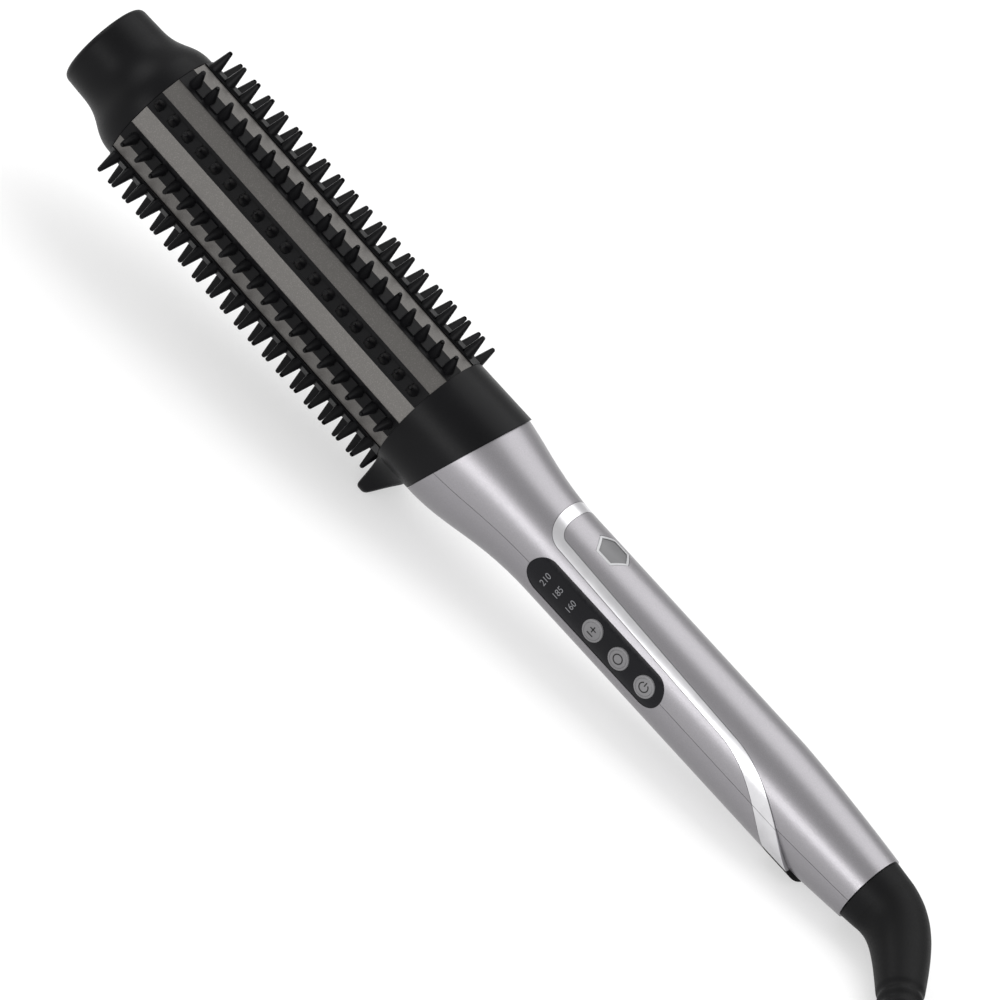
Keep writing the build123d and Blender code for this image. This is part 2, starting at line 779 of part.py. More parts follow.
button_names = ("button_temperature", "button_mode", "button_power")
for button_name, station in zip(button_names, button_stations):
    with BuildPart() as button:
        with BuildSketch(Plane.XZ.offset(panel_back - fit_gap)):
            with Locations((station, 0)):
                Circle(button_diameter / 2)
        extrude(amount=button_face - panel_back + fit_gap)
        fillet(button.edges().sort_by(Axis.Y)[0], button_round)
        with BuildSketch(Plane.XZ.offset(panel_back - fit_gap)):
            with Locations((station, 0)):
                Circle(button_flange_radius)
        extrude(amount=-button_flange)
    handle_parts[button_name] = button.part

with BuildPart() as control_board:
    with BuildSketch(Plane.XZ.offset(board_back)):
        with Locations((control_board_front + control_board_length / 2, 0)):
            RectangleRounded(control_board_length, control_board_height, 1.5)
        with Locations(*post_places):
            Circle(board_screw_radius + fit_gap, mode=Mode.SUBTRACT)
    extrude(amount=board_thickness)
handle_parts["control_board"] = control_board.part

with BuildPart() as board_screws:
    with BuildSketch(Plane.XZ.offset(board_back)):
        with Locations(*post_places):
            Circle(board_screw_radius)
    extrude(amount=board_thickness + 2.2)
    with BuildSketch(Plane.XZ.offset(board_back)):
        with Locations(*post_places):
            Circle(board_screw_head)
    extrude(amount=-board_screw_head_height)
handle_parts["board_screws"] = board_screws.part

with BuildPart() as tact_switches:
    with BuildSketch(Plane.XZ.offset(board_face)):
        with Locations(*[(x, 0) for x in button_stations]):
            Rectangle(switch_size, switch_size)
    extrude(amount=switch_height)
    with BuildSketch(Plane.XZ.offset(board_face + switch_height)):
        with Locations(*[(x, 0) for x in button_stations]):
            Circle(plunger_radius)
    extrude(amount=plunger_height)
handle_parts["tact_switches"] = tact_switches.part

guide_middle = guide_front + guide_length / 2
with BuildPart() as light_guide:
    with BuildSketch(Plane.XZ.offset(board_face)):
        with Locations((guide_middle, 0)):
            Rectangle(guide_length, guide_height)
    extrude(amount=panel_back - board_face)
    with BuildSketch(Plane.XZ.offset(board_face)):
        with Locations((guide_middle, 0)):
            with GridLocations(guide_length / 3, guide_length, 3, 1):
                Rectangle(guide_cell, guide_height - 2)
    extrude(amount=2.4, mode=Mode.SUBTRACT)
handle_parts["light_guide"] = light_guide.part

# The power board slides in like a card: its long edges reach the inside of the shells.
power_far_face = power_board_offset + board_thickness
card_radius = handle_radius - inner_inset - fit_gap
power_board_half = (card_radius**2 - power_far_face**2) ** 0.5
with BuildPart() as power_board:
    with BuildSketch(Plane.XZ.offset(-power_board_offset)):
        with Locations((power_board_front + power_board_length / 2, 0)):
            Rectangle(power_board_length, 2 * power_board_half - 2 * fit_gap)
        with Locations((shell_screw_stations[1], 0)):
            Circle(boss_radius, mode=Mode.SUBTRACT)
    extrude(amount=-board_thickness)
handle_parts["power_board"] = power_board.part

with BuildPart() as board_link:
    with BuildSketch(Plane.XZ.offset(board_back)):
        with Locations((link_front + link_length / 2, 0)):
            Rectangle(link_length, link_height)
    extrude(amount=-board_back - power_board_offset)
handle_parts["board_link"] = board_link.part

with BuildPart() as film_capacitor:
    with BuildSketch(Plane.XZ.offset(-power_board_offset)):
        with Locations((capacitor_front + capacitor_size[0] / 2, 0)):
            Rectangle(capacitor_size[0], capacitor_size[2])
    extrude(amount=capacitor_size[1])
    fillet(film_capacitor.edges().filter_by(Axis.Y), 1.0)
handle_parts["film_capacitor"] = film_capacitor.part

with BuildPart() as power_triac:
    with BuildSketch(Plane.XZ.offset(-power_far_face)):
        with Locations((triac_front + triac_size[0] / 2, 0)):
            Rectangle(triac_size[0], triac_size[2])
    extrude(amount=-triac_size[1])
    with BuildSketch(Plane.XZ.offset(-power_far_face)):
        with Locations((triac_front + triac_size[0] / 2, triac_size[2] / 2 - 2.6)):
            Circle(1.6)
    extrude(amount=-triac_size[1], mode=Mode.SUBTRACT)
handle_parts["power_triac"] = power_triac.part

# ---------------------------------------------------------------- status light

with BuildPart() as status_lens:
    with BuildSketch(Plane.XY.offset(handle_radius / 2)):
        with Locations((lens_centre, 0)):
            RegularPolygon(lens_width / 2, 6, major_radius=False)
    extrude(amount=reach)
    add(tapered_form, mode=Mode.INTERSECT)
    add(recess_form, mode=Mode.SUBTRACT)
handle_parts["status_lens"] = status_lens.part

light_pipe_top = handle_radius - recess_inset - 0.6
with BuildPart() as light_pipe:
    with BuildSketch(Plane.XY.offset(light_pipe_drop)):
        with Locations((lens_centre, 0)):
            Circle(light_pipe_radius)
    extrude(amount=light_pipe_top - light_pipe_drop)
    with BuildSketch(Plane.XY.offset(light_pipe_drop)):
        with Locations((lens_centre, 0)):
            Circle(light_pipe_flange)
    extrude(amount=1.1)
handle_parts["light_pipe"] = light_pipe.part

with BuildPart() as status_board:
    with BuildSketch(Plane.XY.offset(light_pipe_drop)):
        with Locations((lens_centre, 0)):
            Rectangle(status_board_size[0], status_board_size[1])
    extrude(amount=-status_board_size[2])
handle_parts["status_board"] = status_board.part

# ---------------------------------------------------------------- leads inside


def wire(points, radius, bend):
    with BuildPart() as insulated_wire:
        with BuildLine() as path:
            FilletPolyline(*points, radius=bend)
        with BuildSketch(Plane(origin=path.wire() @ 0, z_dir=path.wire() % 0)):
            Circle(radius)
        sweep()
    return insulated_wire.part


# The power leads leave the heater side by side in the slot between the cores and lie one above the
# other on the far face of the power board.
heater_end = heater_front + heater_length
lead_lane = power_far_face + lead_radius + fit_gap
lead_bend = 8 * lead_radius
with BuildPart() as heater_leads:
    for side in (-lead_spacing / 2, lead_spacing / 2):
        heater_route = (
            (heater_end + fit_gap, side, 0),
            (power_exit, side, 0),
            (power_board_front - power_run_up, lead_lane, side),
            (power_board_front + wire_landing, lead_lane, side),
        )
        add(wire(heater_route, lead_radius, lead_bend))
handle_parts["heater_leads"] = heater_leads.part

# Two thin wires run from the sensor to the control board, and one from the fuse to the power board.
thin_lane = board_back - thin_wire_radius - fit_gap
with BuildPart() as sensor_leads:
    for side in (-thin_wire_radius * 1.5, thin_wire_radius * 1.5):
        sensor_route = (
            (sensor_front + sensor_length + wire_start, -core_radius / 2 + side, hollow_floor + sensor_size / 2),
            (core_front + core_length - 6, -thin_wire_way + side, thin_wire_way + 1.4),
            (thin_exit, -thin_wire_way + side, thin_wire_way + 1.4),
            (control_board_front - sensor_run_up, -thin_lane, side),
            (control_board_front + sensor_landing, -thin_lane, side),
        )
        add(wire(sensor_route, thin_wire_radius, lead_bend))
    fuse_route = (
        (sensor_front + fuse_length + wire_start, core_radius / 2, -hollow_floor - fuse_radius),
        (heated_length - 14, thin_wire_way, -thin_wire_way - 1.2),
        (thin_exit, thin_wire_way, -thin_wire_way - 1.2),
        (power_board_front - fuse_run_up, lead_lane, -lead_spacing - 1),
        (power_board_front + wire_landing, lead_lane, -lead_spacing - 1),
    )
    add(wire(fuse_route, thin_wire_radius, lead_bend))
handle_parts["sensor_leads"] = sensor_leads.part

socket_rear = tail_end - socket_inset
socket_front = socket_rear - socket_length
swivel_front = socket_front - body_gap - flange_thickness
shaft_front = swivel_front - shaft_length
contact_lane = ring_radius + 2.6
power_board_rear = power_board_front + power_board_length
with BuildPart() as mains_leads:
    for side in (-lead_spacing / 2, lead_spacing / 2):
        mains_route = (
            (power_board_rear - mains_landing, lead_lane, side),
            (power_board_rear + mains_run_out, lead_lane, side),
            (shaft_front - mains_landing, contact_lane, side),
            (shaft_front - body_gap, contact_lane, side),
        )
        add(wire(mains_route, lead_radius, lead_bend))
handle_parts["mains_leads"] = mains_leads.part

# ---------------------------------------------------------------- lead swivel

with BuildPart() as swivel_socket:
    add(handle_form(inner_inset + fit_gap))
    with BuildSketch(Plane.YZ.offset(socket_front)):
        Circle(reach)
        Circle(spigot_radius + running_gap, mode=Mode.SUBTRACT)
    extrude(amount=socket_length, mode=Mode.INTERSECT)
handle_parts["swivel_socket"] = swivel_socket.part

with BuildPart() as swivel_body:
    with BuildSketch(Plane.YZ.offset(shaft_front)):
        Circle(shaft_radius)
    extrude(amount=shaft_length)
    with BuildSketch(Plane.YZ.offset(swivel_front)):
        Circle(flange_radius)
    extrude(amount=flange_thickness)
    with BuildSketch(Plane.YZ.offset(swivel_front)):
        Circle(spigot_radius)
    extrude(amount=cup_front - swivel_front)
    with BuildSketch(Plane.YZ.offset(cup_front)):
        Circle(cup_radius)
    extrude(amount=cup_length, taper=degrees(atan2(cup_radius - boot_start_radius, cup_length)))
handle_parts["swivel_body"] = swivel_body.part

ring_stations = [shaft_front + 1.2 + i * ring_spacing for i in range(2)]
with BuildPart() as slip_rings:
    for station in ring_stations:
        with BuildSketch(Plane.YZ.offset(station)):
            Circle(ring_radius)
            Circle(shaft_radius + fit_gap, mode=Mode.SUBTRACT)
        extrude(amount=ring_width)
handle_parts["slip_rings"] = slip_rings.part

# A plate across the tail carries the two spring contacts that press on the rings.
contact_height = ring_radius + body_gap
with BuildPart() as contact_carrier:
    add(handle_form(inner_inset + fit_gap))
    with BuildSketch(Plane.YZ.offset(shaft_front - body_gap - carrier_thickness)):
        Rectangle(4 * reach, 2 * (contact_height + 3.4))
    extrude(amount=carrier_thickness, mode=Mode.INTERSECT)
    with BuildSketch(Plane.YZ.offset(shaft_front - body_gap - carrier_thickness)):
        with Locations((contact_lane, -lead_spacing / 2), (contact_lane, lead_spacing / 2)):
            Circle(lead_radius + fit_gap)
    extrude(amount=carrier_thickness, mode=Mode.SUBTRACT)
handle_parts["contact_carrier"] = contact_carrier.part

with BuildPart() as spring_contacts:
    for station, side in zip(ring_stations, (-1, 1)):
        contact_length = station + ring_width - (shaft_front - body_gap)
        with BuildSketch(Plane.YZ.offset(shaft_front - body_gap)):
            with Locations((0, side * (contact_height + 0.6))):
                Rectangle(4.0, 1.2)
        extrude(amount=contact_length)
handle_parts["spring_contacts"] = spring_contacts.part

# ---------------------------------------------------------------- laying the brush on the table

pivot = Pos(collar_front, 0, 0)
tip_up = pivot * Rot(0, handle_bend, 0) * pivot.inverse()
tail_down = Rot(0, rest_angle, 0)
straight_handle = Compound(children=[handle_parts[n].moved(Location()) for n in ("collar", "swivel_body")])
laid_handle = tail_down * straight_handle
laid_barrel = tail_down * tip_up * barrel_parts["tip_cap"]
pad_point = tail_down * Pos(pad_rear, 0, -handle_radius)
middle = (laid_handle.bounding_box().max.X + laid_barrel.bounding_box().min.X) / 2
on_table = Pos(-middle, 0, -pad_point.position.Z)
handle_pose = on_table * tail_down
barrel_pose = on_table * tail_down * tip_up

cup_place = handle_pose * Pos(cup_front + cup_length, 0, 0)
cup_centre = cup_place.position
print("cup centre", cup_centre, "rest angle", rest_angle)

# ---------------------------------------------------------------- boot and lead


def on_table_from_cup(place, height):
    return (cup_centre.X + place[0], place[1], height)


def corner_radii(points):
    """Radius of the arc at each inner point: 0.45 of the shorter run over the half turn's tangent."""
    radii = []
    for before, here, after in zip(points, points[1:], points[2:]):
        run_in = Vector(*here) - Vector(*before)
        run_out = Vector(*after) - Vector(*here)
        turn = radians(run_in.get_angle(run_out))
        radii.append(0.45 * min(run_in.length, run_out.length) / tan(turn / 2))
    return radii


boot_points = [
    (cup_centre.X, cup_centre.Y, cup_centre.Z),
    tuple((handle_pose * Pos(cup_front + cup_length + boot_corner, 0, 0)).position),
    on_table_from_cup(boot_end_place, boot_end_radius + lay_gap),
]
with BuildLine() as boot_path:
    FilletPolyline(*boot_points, radius=boot_bend_radius)
boot_curve = boot_path.wire()
with BuildPart() as cord_boot:
    for share in (0.0, 0.2, 0.4, 1.0):
        section_radius = boot_start_radius + (boot_end_radius - boot_start_radius) * share
        with BuildSketch(Plane(origin=boot_curve @ share, z_dir=boot_curve % share, x_dir=(0, 0, 1))):
            Circle(section_radius)
    sweep(path=boot_curve, multisection=True)
lead_parts["cord_boot"] = cord_boot.part
print("boot length", boot_curve.length)

lead_points = [boot_points[-1]] + [on_table_from_cup(place[:2], place[2]) for place in lead_places]
lead_radii = corner_radii(lead_points)
print("lead points", lead_points)
print("lead radii", [round(r, 1) for r in lead_radii])
lead_outer = lead_diameter / 2
with BuildPart() as cord:
    with BuildLine() as cord_path:
        FilletPolyline(*lead_points, radius=lead_radii)
    with BuildSketch(Plane(origin=cord_path.wire() @ 0, z_dir=cord_path.wire() % 0)):
        Circle(lead_outer)
    sweep()
lead_parts["cord"] = cord.part
print("cord volume", cord.part.volume, "section x length", pi * lead_outer**2 * cord_path.wire().length)

# The coil: turns side by side in layers, drawn as one closed ring of their outer shape. The lead comes
# in along the outermost turn.
coil_top = coil_lift + lead_diameter * (1 + (len(coil_layers) - 1) * cos(radians(30)))
bottom_half = coil_layers[0] * lead_diameter / 2
top_half = coil_layers[-1] * lead_diameter / 2
coil_pose = Pos(cup_centre.X + coil_place[0], coil_place[1], 0)
coil_outline = (
    (coil_mean_radius - bottom_half, coil_lift),
    (coil_mean_radius + bottom_half, coil_lift),
    (coil_mean_radius + bottom_half, coil_lift + lead_diameter * 0.8),
    (coil_mean_radius + top_half, coil_top),
    (coil_mean_radius - top_half, coil_top),
    (coil_mean_radius - bottom_half, coil_lift + lead_diameter * 0.8),
)
with BuildPart() as cord_coil:
    with BuildSketch(Plane.XZ) as coil_section:
        Polygon(*coil_outline, align=None)
        fillet(coil_section.vertices(), lead_diameter / 4)
    revolve(axis=Axis.Z)
lead_parts["cord_coil"] = coil_pose * cord_coil.part
print("coil turns", sum(coil_layers), "length", sum(coil_layers) * 2 * pi * coil_mean_radius)

with BuildPart() as cord_tie:
    with BuildSketch(Plane.XZ) as tie_section:
        Polygon(*coil_outline, align=None)
        fillet(tie_section.vertices(), lead_diameter / 4)
        offset(amount=tie_thickness)
    extrude(amount=tie_width / 2, both=True)
    add(cord_coil.part, mode=Mode.SUBTRACT)
lead_parts["cord_tie"] = coil_pose * Rot(0, 0, tie_bearing) * cord_tie.part

# ---------------------------------------------------------------- plug

# The lead leaves the top turn, rises and turns a little tighter than the coil, and the plug lies on the
# coil. Drawn with the plug pointing along X, in the coil's frame.
half_step = plug_bend_step / 2
bend_shift = coil_mean_radius - plug_bend_radius
bend_corner = plug_bend_radius / cos(radians(half_step))
bend_run = 2 * plug_bend_radius * tan(radians(half_step))
top_turn_height = coil_top - lead_diameter / 2
bend_start = -90 - half_step - plug_bend_step * (len(plug_lead_rise) - 2)
leaving = radians(bend_start + half_step)
plug_lead_points = []
for step, rise in enumerate(plug_lead_rise[:-1]):
    bearing = radians(bend_start + plug_bend_step * step)
    plug_lead_points.append(
        (
            bend_shift * cos(leaving) + bend_corner * cos(bearing),
            bend_shift * sin(leaving) + bend_corner * sin(bearing),
            top_turn_height + rise,
        )
    )
last_corner = plug_lead_points[-1]
neck_place = (last_corner[0] + bend_run, last_corner[1], top_turn_height + plug_lead_rise[-1])
plug_lead_points.append(neck_place)
plug_lead_radii = corner_radii(plug_lead_points)
print("plug lead radii", [round(r, 1) for r in plug_lead_radii])
with BuildPart() as plug_lead:
    with BuildLine() as plug_lead_path:
        FilletPolyline(*plug_lead_points, radius=plug_lead_radii)
    with BuildSketch(Plane(origin=plug_lead_path.wire() @ 0, z_dir=plug_lead_path.wire() % 0)):
        Circle(lead_outer)
    sweep()
print("plug lead volume", plug_lead.part.volume, pi * lead_outer**2 * plug_lead_path.wire().length)

with BuildPart() as plug_body:
    with BuildSketch(Plane.YZ.offset(plug_neck)):
        RectangleRounded(plug_width / 2, plug_thickness * 0.8, plug_round * 0.8)
    with BuildSketch(Plane.YZ.offset(plug_neck + plug_shoulder)):
        RectangleRounded(plug_width, plug_thickness, plug_round)
    loft()
    with BuildSketch(Plane.YZ.offset(plug_neck + plug_shoulder)):
        RectangleRounded(plug_width, plug_thickness, plug_round)
    extrude(amount=plug_length - plug_shoulder)
    fillet(plug_body.faces().sort_by(Axis.X)[-1].edges(), plug_round / 6)
    with BuildSketch(Plane.YZ):
        Circle(lead_outer + body_gap)
    with BuildSketch(Plane.YZ.offset(plug_neck)):
        Circle(plug_neck_radius)
    loft()

with BuildPart() as plug_pins:
    with BuildSketch(Plane.YZ.offset(plug_neck + plug_length)):
        with Locations((-pin_spacing / 2, 0), (pin_spacing / 2, 0)):
            Circle(pin_radius)
    extrude(amount=pin_length)
    fillet(plug_pins.edges().group_by(Axis.X)[-1], pin_radius / 2)

plug_turn = coil_pose * Rot(0, 0, plug_bearing)
plug_pose = plug_turn * Pos(*neck_place)
lead_parts["plug_lead"] = plug_turn * plug_lead.part
lead_parts["plug_body"] = plug_pose * plug_body.part
lead_parts["plug_pins"] = plug_pose * plug_pins.part
print("plug turned", plug_bearing, "neck at", tuple(plug_pose.position))

# ---------------------------------------------------------------- writing the pieces

placed_parts = {}
for name, piece in barrel_parts.items():
    placed_parts[name] = barrel_pose * piece
for name, piece in handle_parts.items():
    placed_parts[name] = handle_pose * piece
placed_parts.update(lead_parts)

for name, piece in placed_parts.items():
    piece.label = name
    export_step(piece, f"parts/{name}.step")
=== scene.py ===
import json
from math import atan2, cos, hypot, pi, radians, sin, tan

import bmesh
import bpy
from bpy.props import FloatProperty, FloatVectorProperty, IntProperty, PointerProperty
from mathutils import Matrix, Vector


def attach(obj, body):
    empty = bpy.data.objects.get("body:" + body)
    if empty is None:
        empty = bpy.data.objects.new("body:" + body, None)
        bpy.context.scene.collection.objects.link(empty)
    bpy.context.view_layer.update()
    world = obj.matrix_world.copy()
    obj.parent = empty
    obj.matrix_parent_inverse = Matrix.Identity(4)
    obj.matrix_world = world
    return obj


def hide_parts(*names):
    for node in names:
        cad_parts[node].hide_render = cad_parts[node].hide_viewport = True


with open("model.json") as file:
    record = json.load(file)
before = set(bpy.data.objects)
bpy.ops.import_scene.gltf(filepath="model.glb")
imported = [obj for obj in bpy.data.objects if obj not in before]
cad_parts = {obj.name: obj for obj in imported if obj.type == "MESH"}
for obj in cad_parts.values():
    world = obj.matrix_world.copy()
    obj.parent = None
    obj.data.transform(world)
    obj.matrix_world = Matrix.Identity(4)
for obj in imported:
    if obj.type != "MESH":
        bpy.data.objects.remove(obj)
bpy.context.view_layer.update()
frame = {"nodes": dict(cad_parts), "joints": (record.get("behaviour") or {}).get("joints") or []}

bl_info = {
    "name": "Heated Round Brush",
    "version": (1, 0, 0),
    "blender": (4, 5, 0),
    "location": "View3D > Sidebar > Brush",
    "description": "Finishes a heated round hair brush over its packed solids",
    "category": "Add Mesh",
}

# ---------------------------------------------------------------- shared places

NODES = frame["nodes"]
SWIVEL = next(j for j in frame["joints"] if j["name"] == "cord_swivel")
CUP = Vector(SWIVEL["pos_m"])  # middle of the swivel's cup, on the handle's axis
AXIS = Vector(SWIVEL["axis"])
REST = atan2(-AXIS.z, AXIS.x)  # how far the handle's axis dips towards the lead
CUP_STATION = 0.3058  # the cup's end, measured along the handle
BARREL_END = 0.1154
HANDLE_BEND = radians(1.2)  # between the barrel and the handle

# Stations run along the brush, with x = 0 at the front end of the heated barrel.
HANDLE_POSE = (
    Matrix.Translation(CUP) @ Matrix.Rotation(REST, 4, "Y") @ Matrix.Translation((-CUP_STATION, 0, 0))
)
BARREL_POSE = (
    HANDLE_POSE
    @ Matrix.Translation((BARREL_END, 0, 0))
    @ Matrix.Rotation(HANDLE_BEND, 4, "Y")
    @ Matrix.Translation((-BARREL_END, 0, 0))
)


# ---------------------------------------------------------------- sizes and colours


class BristleSizes(bpy.types.PropertyGroup):
    rows: IntProperty(name="Rows", description="Bristle strips round the barrel", default=10, min=3)
    count: IntProperty(name="Bristles", description="Bristles on one strip", default=19, min=2)
    pitch: FloatProperty(
        name="Pitch", description="Distance between bristles", default=0.00605, unit="LENGTH"
    )
    start: FloatProperty(
        name="Start", description="First bristle from the strip's end", default=0.0025, unit="LENGTH"
    )
    reach: FloatProperty(
        name="Reach", description="Radius at the bristle tips", default=0.0264, unit="LENGTH"
    )
    crown: FloatProperty(
        name="Crown", description="Radius of the strip's outer face", default=0.0195, unit="LENGTH"
    )
    root_width: FloatProperty(
        name="Root width", description="Bristle width at the strip", default=0.0039, unit="LENGTH"
    )
    tip_width: FloatProperty(
        name="Tip width", description="Bristle width near its tip", default=0.0015, unit="LENGTH"
    )
    block_length: FloatProperty(
        name="Block length", description="Raised block between two bristles", default=0.0031, unit="LENGTH"
    )
    block_width: FloatProperty(
        name="Block width", description="Block width across the strip", default=0.0034, unit="LENGTH"
    )
    block_height: FloatProperty(
        name="Block height", description="Block height above the crown", default=0.0006, unit="LENGTH"
    )
    colour: FloatVectorProperty(
        name="Colour", description="Colour of the bristle strips",
        default=(0.0035, 0.0035, 0.004), subtype="COLOR", min=0, max=1,
    )


class ShellColours(bpy.types.PropertyGroup):
    silver: FloatVectorProperty(
        name="Silver", description="Metallic paint of the handle",
        default=(0.255, 0.247, 0.26), subtype="COLOR", min=0, max=1,
    )
    coating: FloatVectorProperty(
        name="Coating", description="Ceramic coating of the barrel",
        default=(0.105, 0.1, 0.095), subtype="COLOR", min=0, max=1,
    )
    dark_plastic: FloatVectorProperty(
        name="Dark plastic", description="Tip cap, collar and fin",
        default=(0.0035, 0.0035, 0.004), subtype="COLOR", min=0, max=1,
    )


class ControlSizes(bpy.types.PropertyGroup):
    figure_height: FloatProperty(
        name="Figure height", description="Height of the temperature figures", default=0.0021, unit="LENGTH"
    )
    icon_radius: FloatProperty(
        name="Icon radius", description="Radius of the button symbols", default=0.0015, unit="LENGTH"
    )
    lens_lip: FloatProperty(
        name="Lens lip", description="Width of the pale lip round the lens", default=0.0009, unit="LENGTH"
    )
    button_colour: FloatVectorProperty(
        name="Button colour", description="Colour of the buttons",
        default=(0.155, 0.152, 0.158), subtype="COLOR", min=0, max=1,
    )


class CordSizes(bpy.types.PropertyGroup):
    diameter: FloatProperty(name="Diameter", description="Lead diameter", default=0.0065, unit="LENGTH")
    boot_start: FloatProperty(
        name="Boot start", description="Boot radius at the swivel", default=0.0103, unit="LENGTH"
    )
    boot_end: FloatProperty(
        name="Boot end", description="Boot radius where the lead leaves it", default=0.005, unit="LENGTH"
    )
    boot_length: FloatProperty(
        name="Boot length", description="Length of the boot along the lead", default=0.0535, unit="LENGTH"
    )


class StageSizes(bpy.types.PropertyGroup):
    floor: FloatProperty(name="Floor", description="Width of the floor", default=12.0, unit="LENGTH")
    distance: FloatProperty(
        name="Camera distance", description="From the camera to the brush", default=8.0, unit="LENGTH"
    )
    lens: FloatProperty(name="Lens", description="Focal length of the camera", default=1022.3, unit="CAMERA")


# ---------------------------------------------------------------- mesh tools


def bezier(points, steps):
    """Points along a Bezier curve given by its control points."""
    found = []
    for i in range(steps + 1):
        row = [Vector(p) for p in points]
        while len(row) > 1:
            row = [a.lerp(b, i / steps) for a, b in zip(row, row[1:])]
        found.append(tuple(row[0]))
    return found


def round_corner(before, corner, after, radius, steps=3):
    """A corner of a profile, rounded."""
    corner = Vector(corner)
    run_in = (Vector(before) - corner).normalized()
    run_out = (Vector(after) - corner).normalized()
    return bezier((corner + run_in * radius, corner, corner + run_out * radius), steps)


def lathe(profile, steps=96):
    """Turns a closed (x, radius) profile round the X axis. Points at radius 0 become poles."""
    bm = bmesh.new()
    rings = []
    for x, radius in profile:
        if radius < 1e-7:
            rings.append([bm.verts.new((x, 0, 0))])
        else:
            angles = [2 * pi * i / steps for i in range(steps)]
            rings.append([bm.verts.new((x, radius * sin(a), radius * cos(a))) for a in angles])
    for ring, following in zip(rings, rings[1:] + rings[:1]):
        if len(ring) == 1 and len(following) == 1:
            continue
        for i in range(steps):
            j = (i + 1) % steps
            corners = [ring[i % len(ring)], ring[j % len(ring)]]
            corners += [following[j % len(following)], following[i % len(following)]]
            bm.faces.new(list(dict.fromkeys(corners)))
    bmesh.ops.recalc_face_normals(bm, faces=bm.faces)
    return bm


def loft(loops, closed=False):
    """A skin over loops of points, each joined to the next, and either closed into a ring or capped."""
    bm = bmesh.new()
    rings = [[bm.verts.new(at) for at in loop] for loop in loops]
    for ring, following in zip(rings, rings[1:] + rings[: int(closed)]):
        for i in range(len(ring)):
            j = (i + 1) % len(ring)
            bm.faces.new((ring[i], ring[j], following[j], following[i]))
    if not closed:
        bm.faces.new(rings[0])
        bm.faces.new(rings[-1])
    bmesh.ops.recalc_face_normals(bm, faces=bm.faces)
    return bm


def add_to(bm, other):
    """Moves one bmesh into another."""
    held = bpy.data.meshes.new("held")
    other.to_mesh(held)
    other.free()
    bm.from_mesh(held)
    bpy.data.meshes.remove(held)


def opened(mesh):
    """A bmesh of a finished mesh."""
    bm = bmesh.new()
    bm.from_mesh(mesh)
    return bm


def link(name, data):
    """A new object in the scene."""
    piece = bpy.data.objects.new(name, data)
    bpy.context.scene.collection.objects.link(piece)
    return piece


def plain_mesh(holder):
    """The mesh that an object comes to with its modifiers or its curve worked out."""
    bpy.context.view_layer.update()
    evaluated = holder.evaluated_get(bpy.context.evaluated_depsgraph_get())
    mesh = bpy.data.meshes.new_from_object(evaluated)
    holder.modifiers.clear()
    bpy.data.objects.remove(holder)
    return mesh


def to_mesh(bm, pose=None, sharp=32):
    """Writes a bmesh out as a smooth mesh with its edges over `sharp` degrees kept crisp."""
    mesh = bpy.data.meshes.new("piece")
    if pose is not None:
        bm.transform(pose)
    bm.to_mesh(mesh)
    bm.free()
    mesh.polygons.foreach_set("use_smooth", [True] * len(mesh.polygons))
    mesh.set_sharp_from_angle(angle=radians(sharp))
    return mesh


def place(name, mesh, body, finish, stands_for):
    """Links a finished mesh, gives it its material and lets it ride on a body."""
    piece = link(name, mesh)
    mesh.name = name
    mesh.materials.clear()
    mesh.materials.append(FINISHES[finish])
    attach(piece, body)
    if stands_for:
        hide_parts(*stands_for)
    return piece


def merged(node):
    """A bmesh of a CAD node with its loose triangles joined."""
    source = NODES[node].data
    bm = bmesh.new()
    verts = [bm.verts.new(v.co) for v in source.vertices]
    for polygon in source.polygons:
        try:
            bm.faces.new([verts[i] for i in polygon.vertices])
        except ValueError:
            continue
    bmesh.ops.remove_doubles(bm, verts=bm.verts, dist=2e-6)
    bmesh.ops.dissolve_degenerate(bm, edges=bm.edges, dist=1e-6)
    return bm


def handle_radius(x):
    """Radius of the turned handle at a station, and its slope."""
    if x <= HANDLE_PROFILE[0][0]:
        return HANDLE_PROFILE[0][1], 0.0
    for (x0, r0), (x1, r1) in zip(HANDLE_PROFILE, HANDLE_PROFILE[1:]):
        if x <= x1:
            return r0 + (r1 - r0) * (x - x0) / (x1 - x0), (r1 - r0) / (x1 - x0)
    return HANDLE_PROFILE[-1][1], 0.0


HANDLE_PROFILE = (
    bezier(((0.129, 0.0194), (0.144, 0.019), (0.151, 0.0142), (0.172, 0.0142)), 60)
    + bezier(((0.258, 0.0142), (0.275, 0.0137), (0.3005, 0.0113)), 40)
)


def turned_finish(mesh, pose, depth=0.0002):
    """Gives the outer skin of a handle moulding the normals of the turned form it was cut from."""
    inverse = pose.inverted()
    turn = pose.to_3x3()
    normals = [Vector(n.vector) for n in mesh.corner_normals]
    for polygon in mesh.polygons:
        for loop in polygon.loop_indices:
            at = inverse @ mesh.vertices[mesh.loops[loop].vertex_index].co
            radius, slope = handle_radius(at.x)
            away = hypot(at.y, at.z)
            if abs(away - radius) > depth:
                continue
            true = turn @ Vector((-slope, at.y / away, at.z / away)).normalized()
            if polygon.normal.dot(true) > 0.94:
                normals[loop] = true
    mesh.normals_split_custom_set(normals)


# ---------------------------------------------------------------- material tools


MIX_FACTOR, MIX_DARK, MIX_LIGHT, MIX_COLOUR = 0, 6, 7, 2  # a colour mix node's sockets
NEAR_BLACK = 0.03  # plastics darker than this shine less


def new_finish(name, colour, metallic=0.0, roughness=0.5, **sockets):
    """A material with its even values on the shader's own sockets."""
    finish = bpy.data.materials.new(name)
    finish.use_nodes = True
    sockets.update(Base_Color=(*colour, 1), Metallic=metallic, Roughness=roughness)
    for socket, value in sockets.items():
        shader_socket(finish, socket.replace("_", " ")).default_value = value
    finish.diffuse_color = (*colour, 1)
    return finish


